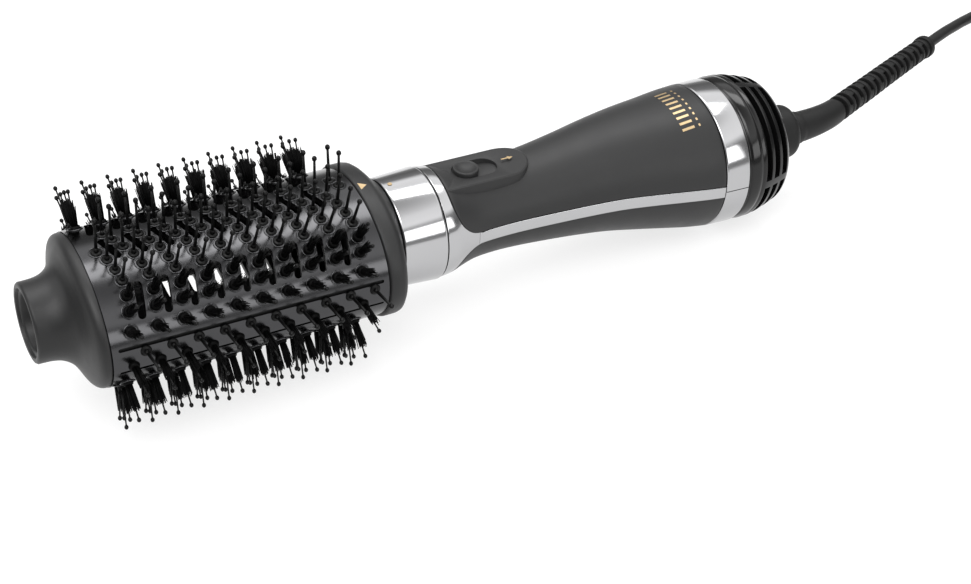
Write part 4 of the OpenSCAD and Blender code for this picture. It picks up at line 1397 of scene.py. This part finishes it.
def plug():
    """Moulded plug with a round-cornered body, a shallow groove round its middle and a small relief."""
    length, wide, high = 52.0, 36.0, 24.0
    place = JUST_MM @ Matrix.Translation(PLUG_AT) @ Matrix.Rotation(math.pi, 4, "Z")
    buttons_at = {"test": 16.0, "reset": 32.0}
    well_r = 3.75

    def outline(inset, corner=5.0, steps=6):
        out = []
        for cx, cy, start in ((length - corner, wide / 2 - corner, 0), (corner, wide / 2 - corner, 90),
                              (corner, -wide / 2 + corner, 180), (length - corner, -wide / 2 + corner, 270)):
            for k in range(steps + 1):
                q = math.radians(start + 90 * k / steps)
                r = corner - inset
                out.append((cx + r * math.cos(q), cy + r * math.sin(q)))
        return out
    levels = [(2.4, 0.0), (1.0, 0.35), (0.3, 1.1), (0.0, 2.4), (0.0, 11.4), (0.5, 11.7), (0.5, 12.3), (0.0, 12.6),
              (0.0, high - 2.6), (0.3, high - 1.2), (1.1, high - 0.35), (2.4, high)]
    rings = [[(x, y, z) for x, y in outline(inset)] for inset, z in levels]
    n = len(rings[0])
    points = [p for ring in rings for p in ring]
    body = piece("plug_housing", points, closed_faces(len(rings), n), GLOSS, "cord", place, 40)
    tool_points, tool_faces = [], []
    for x in buttons_at.values():
        base = len(tool_points)
        points, faces = upright(x, [(well_r, high - 3.0), (well_r, high + 3)], 40)
        tool_points += points
        tool_faces += [tuple(base + k for k in face) for face in faces]
    mesh = bpy.data.meshes.new("wells")
    mesh.from_pydata([place @ Vector(p) for p in tool_points], [], tool_faces)
    tidy(mesh)
    cut_away(body, linked("wells", mesh))
    tidy(body.data, 40)
    paint(body.data, GLOSS)
    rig.replaces(body, "plug_body")
    relief_line = smooth_line([(368, -12, 9.4), (363, -12, 10.8), (358, -12, 11.7), (351.9, -12, 12)], 8)
    relief = tube_piece("plug_boot", relief_line, lambda s: 3.5 + 2.3 * s + (0.45 if int(s * 9) % 2 else 0), RUBBER,
                        "cord", 24)
    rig.replaces(relief, "plug_relief")
    blades = []
    for side in (-1, 1):
        blade = [(52.02, -3.1), (67.2, -3.1), (68.6, -2.2), (69.0, -1.0), (69.0, 1.0), (68.6, 2.2), (67.2, 3.1),
                 (52.02, 3.1)]
        points = [(x, side * 6.35 + d, high / 2 + z) for d in (-0.75, 0.75) for x, z in blade]
        blades.append(piece("plug_blade_" + ("a" if side < 0 else "b"), points, closed_faces(2, len(blade)), BRASS,
                            "cord", place, 30, 0.2))
    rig.replaces(blades[0], "plug_blades")
    buttons = []
    for body_name, finish in (("test", BLUE), ("reset", RED)):
        node = body_name + "_button"
        rings = [(0.02, high - 1.3), (3.58, high - 1.3), (3.58, high + 1.2), (3.35, high + 1.5), (2.9, high + 1.6),
                 (0.02, high + 1.45)]
        points, faces = upright(buttons_at[body_name], rings, 40)
        button = piece(node + "_cap", points, faces, finish, body_name, place, 40)
        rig.replaces(button, node)
        buttons.append(button)
    return [body, relief, *blades, *buttons]


def tie():
    """A soft strap round one side of the coil."""
    inner, outer, top = COIL_MID_R - 7.9, COIL_MID_R + 7.9, 20.9
    q = math.radians(-150)
    way, across = Vector((math.cos(q), math.sin(q), 0)), Vector((-math.sin(q), math.cos(q), 0))
    loop = rounded([(inner, 0.1), (outer, 0.1), (outer, top), (inner, top)], 3.0, 5)
    points, faces, wide, thick = [], [], 8.0, 0.55
    middle = Vector(((inner + outer) / 2, top / 2))
    n = len(loop)
    for shift in (-wide / 2, wide / 2):
        for grow_by in (-thick, 0.0):
            for p in loop:
                d = (Vector(p) - middle).normalized() * grow_by
                points.append(Vector((COIL_AT[0], COIL_AT[1], 0)) + way * (p[0] + d.x) + across * shift
                              + Vector((0, 0, max(0.05, p[1] + d.y))))
    for k in range(n):
        a, b = k, (k + 1) % n
        for low, high in ((0, 1), (1, 3), (3, 2), (2, 0)):
            faces.append((low * n + a, low * n + b, high * n + b, high * n + a))
    return piece("cord_tie", points, faces, RUBBER, "cord", JUST_MM, 60)


nose_cap()
barrel_sheet()
flange_and_spigot()
bristles()
shells()
switch_pad()
knob()
yoke()
rings_and_collar()
grille()
gland()
marks()
plug_pieces = plug()
strap = tie()

# ---- Finishes of the CAD pieces that still show ----
FINISHES = {NYLON: ["bristle_core_top", "bristle_core_bottom", "spigot"],
            INNER: ["air_spreader", "head_socket", "slide_switch", "motor_mount", "impeller"],
            MICA: ["heater_tube", "heater_frame"], WIRE: ["heater_coils"],
            STEEL: ["thermal_cutoff", "motor", "motor_shaft", "shell_screws"], CERAMIC: ["ion_emitter"],
            GREEN: ["circuit_board"], MESH: ["inlet_filter"]}
for finish, names in FINISHES.items():
    for name in names:
        paint(frame["nodes"][name].data, finish)

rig.cord(cord_piece, exit=cord_path[0], length=round(cord_length, 2), diameter=CORD_D * MM, far_end="plug",
        stiffness="medium", lay="coiled", path=cord_path,
        with_pieces=[relief_core, relief_ribs, strap, *plug_pieces])

with open("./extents.json", "w") as out:
    json.dump({"cad": [list(c) for c in cad_box], "visual": [list(c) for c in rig.bounds()]}, out)
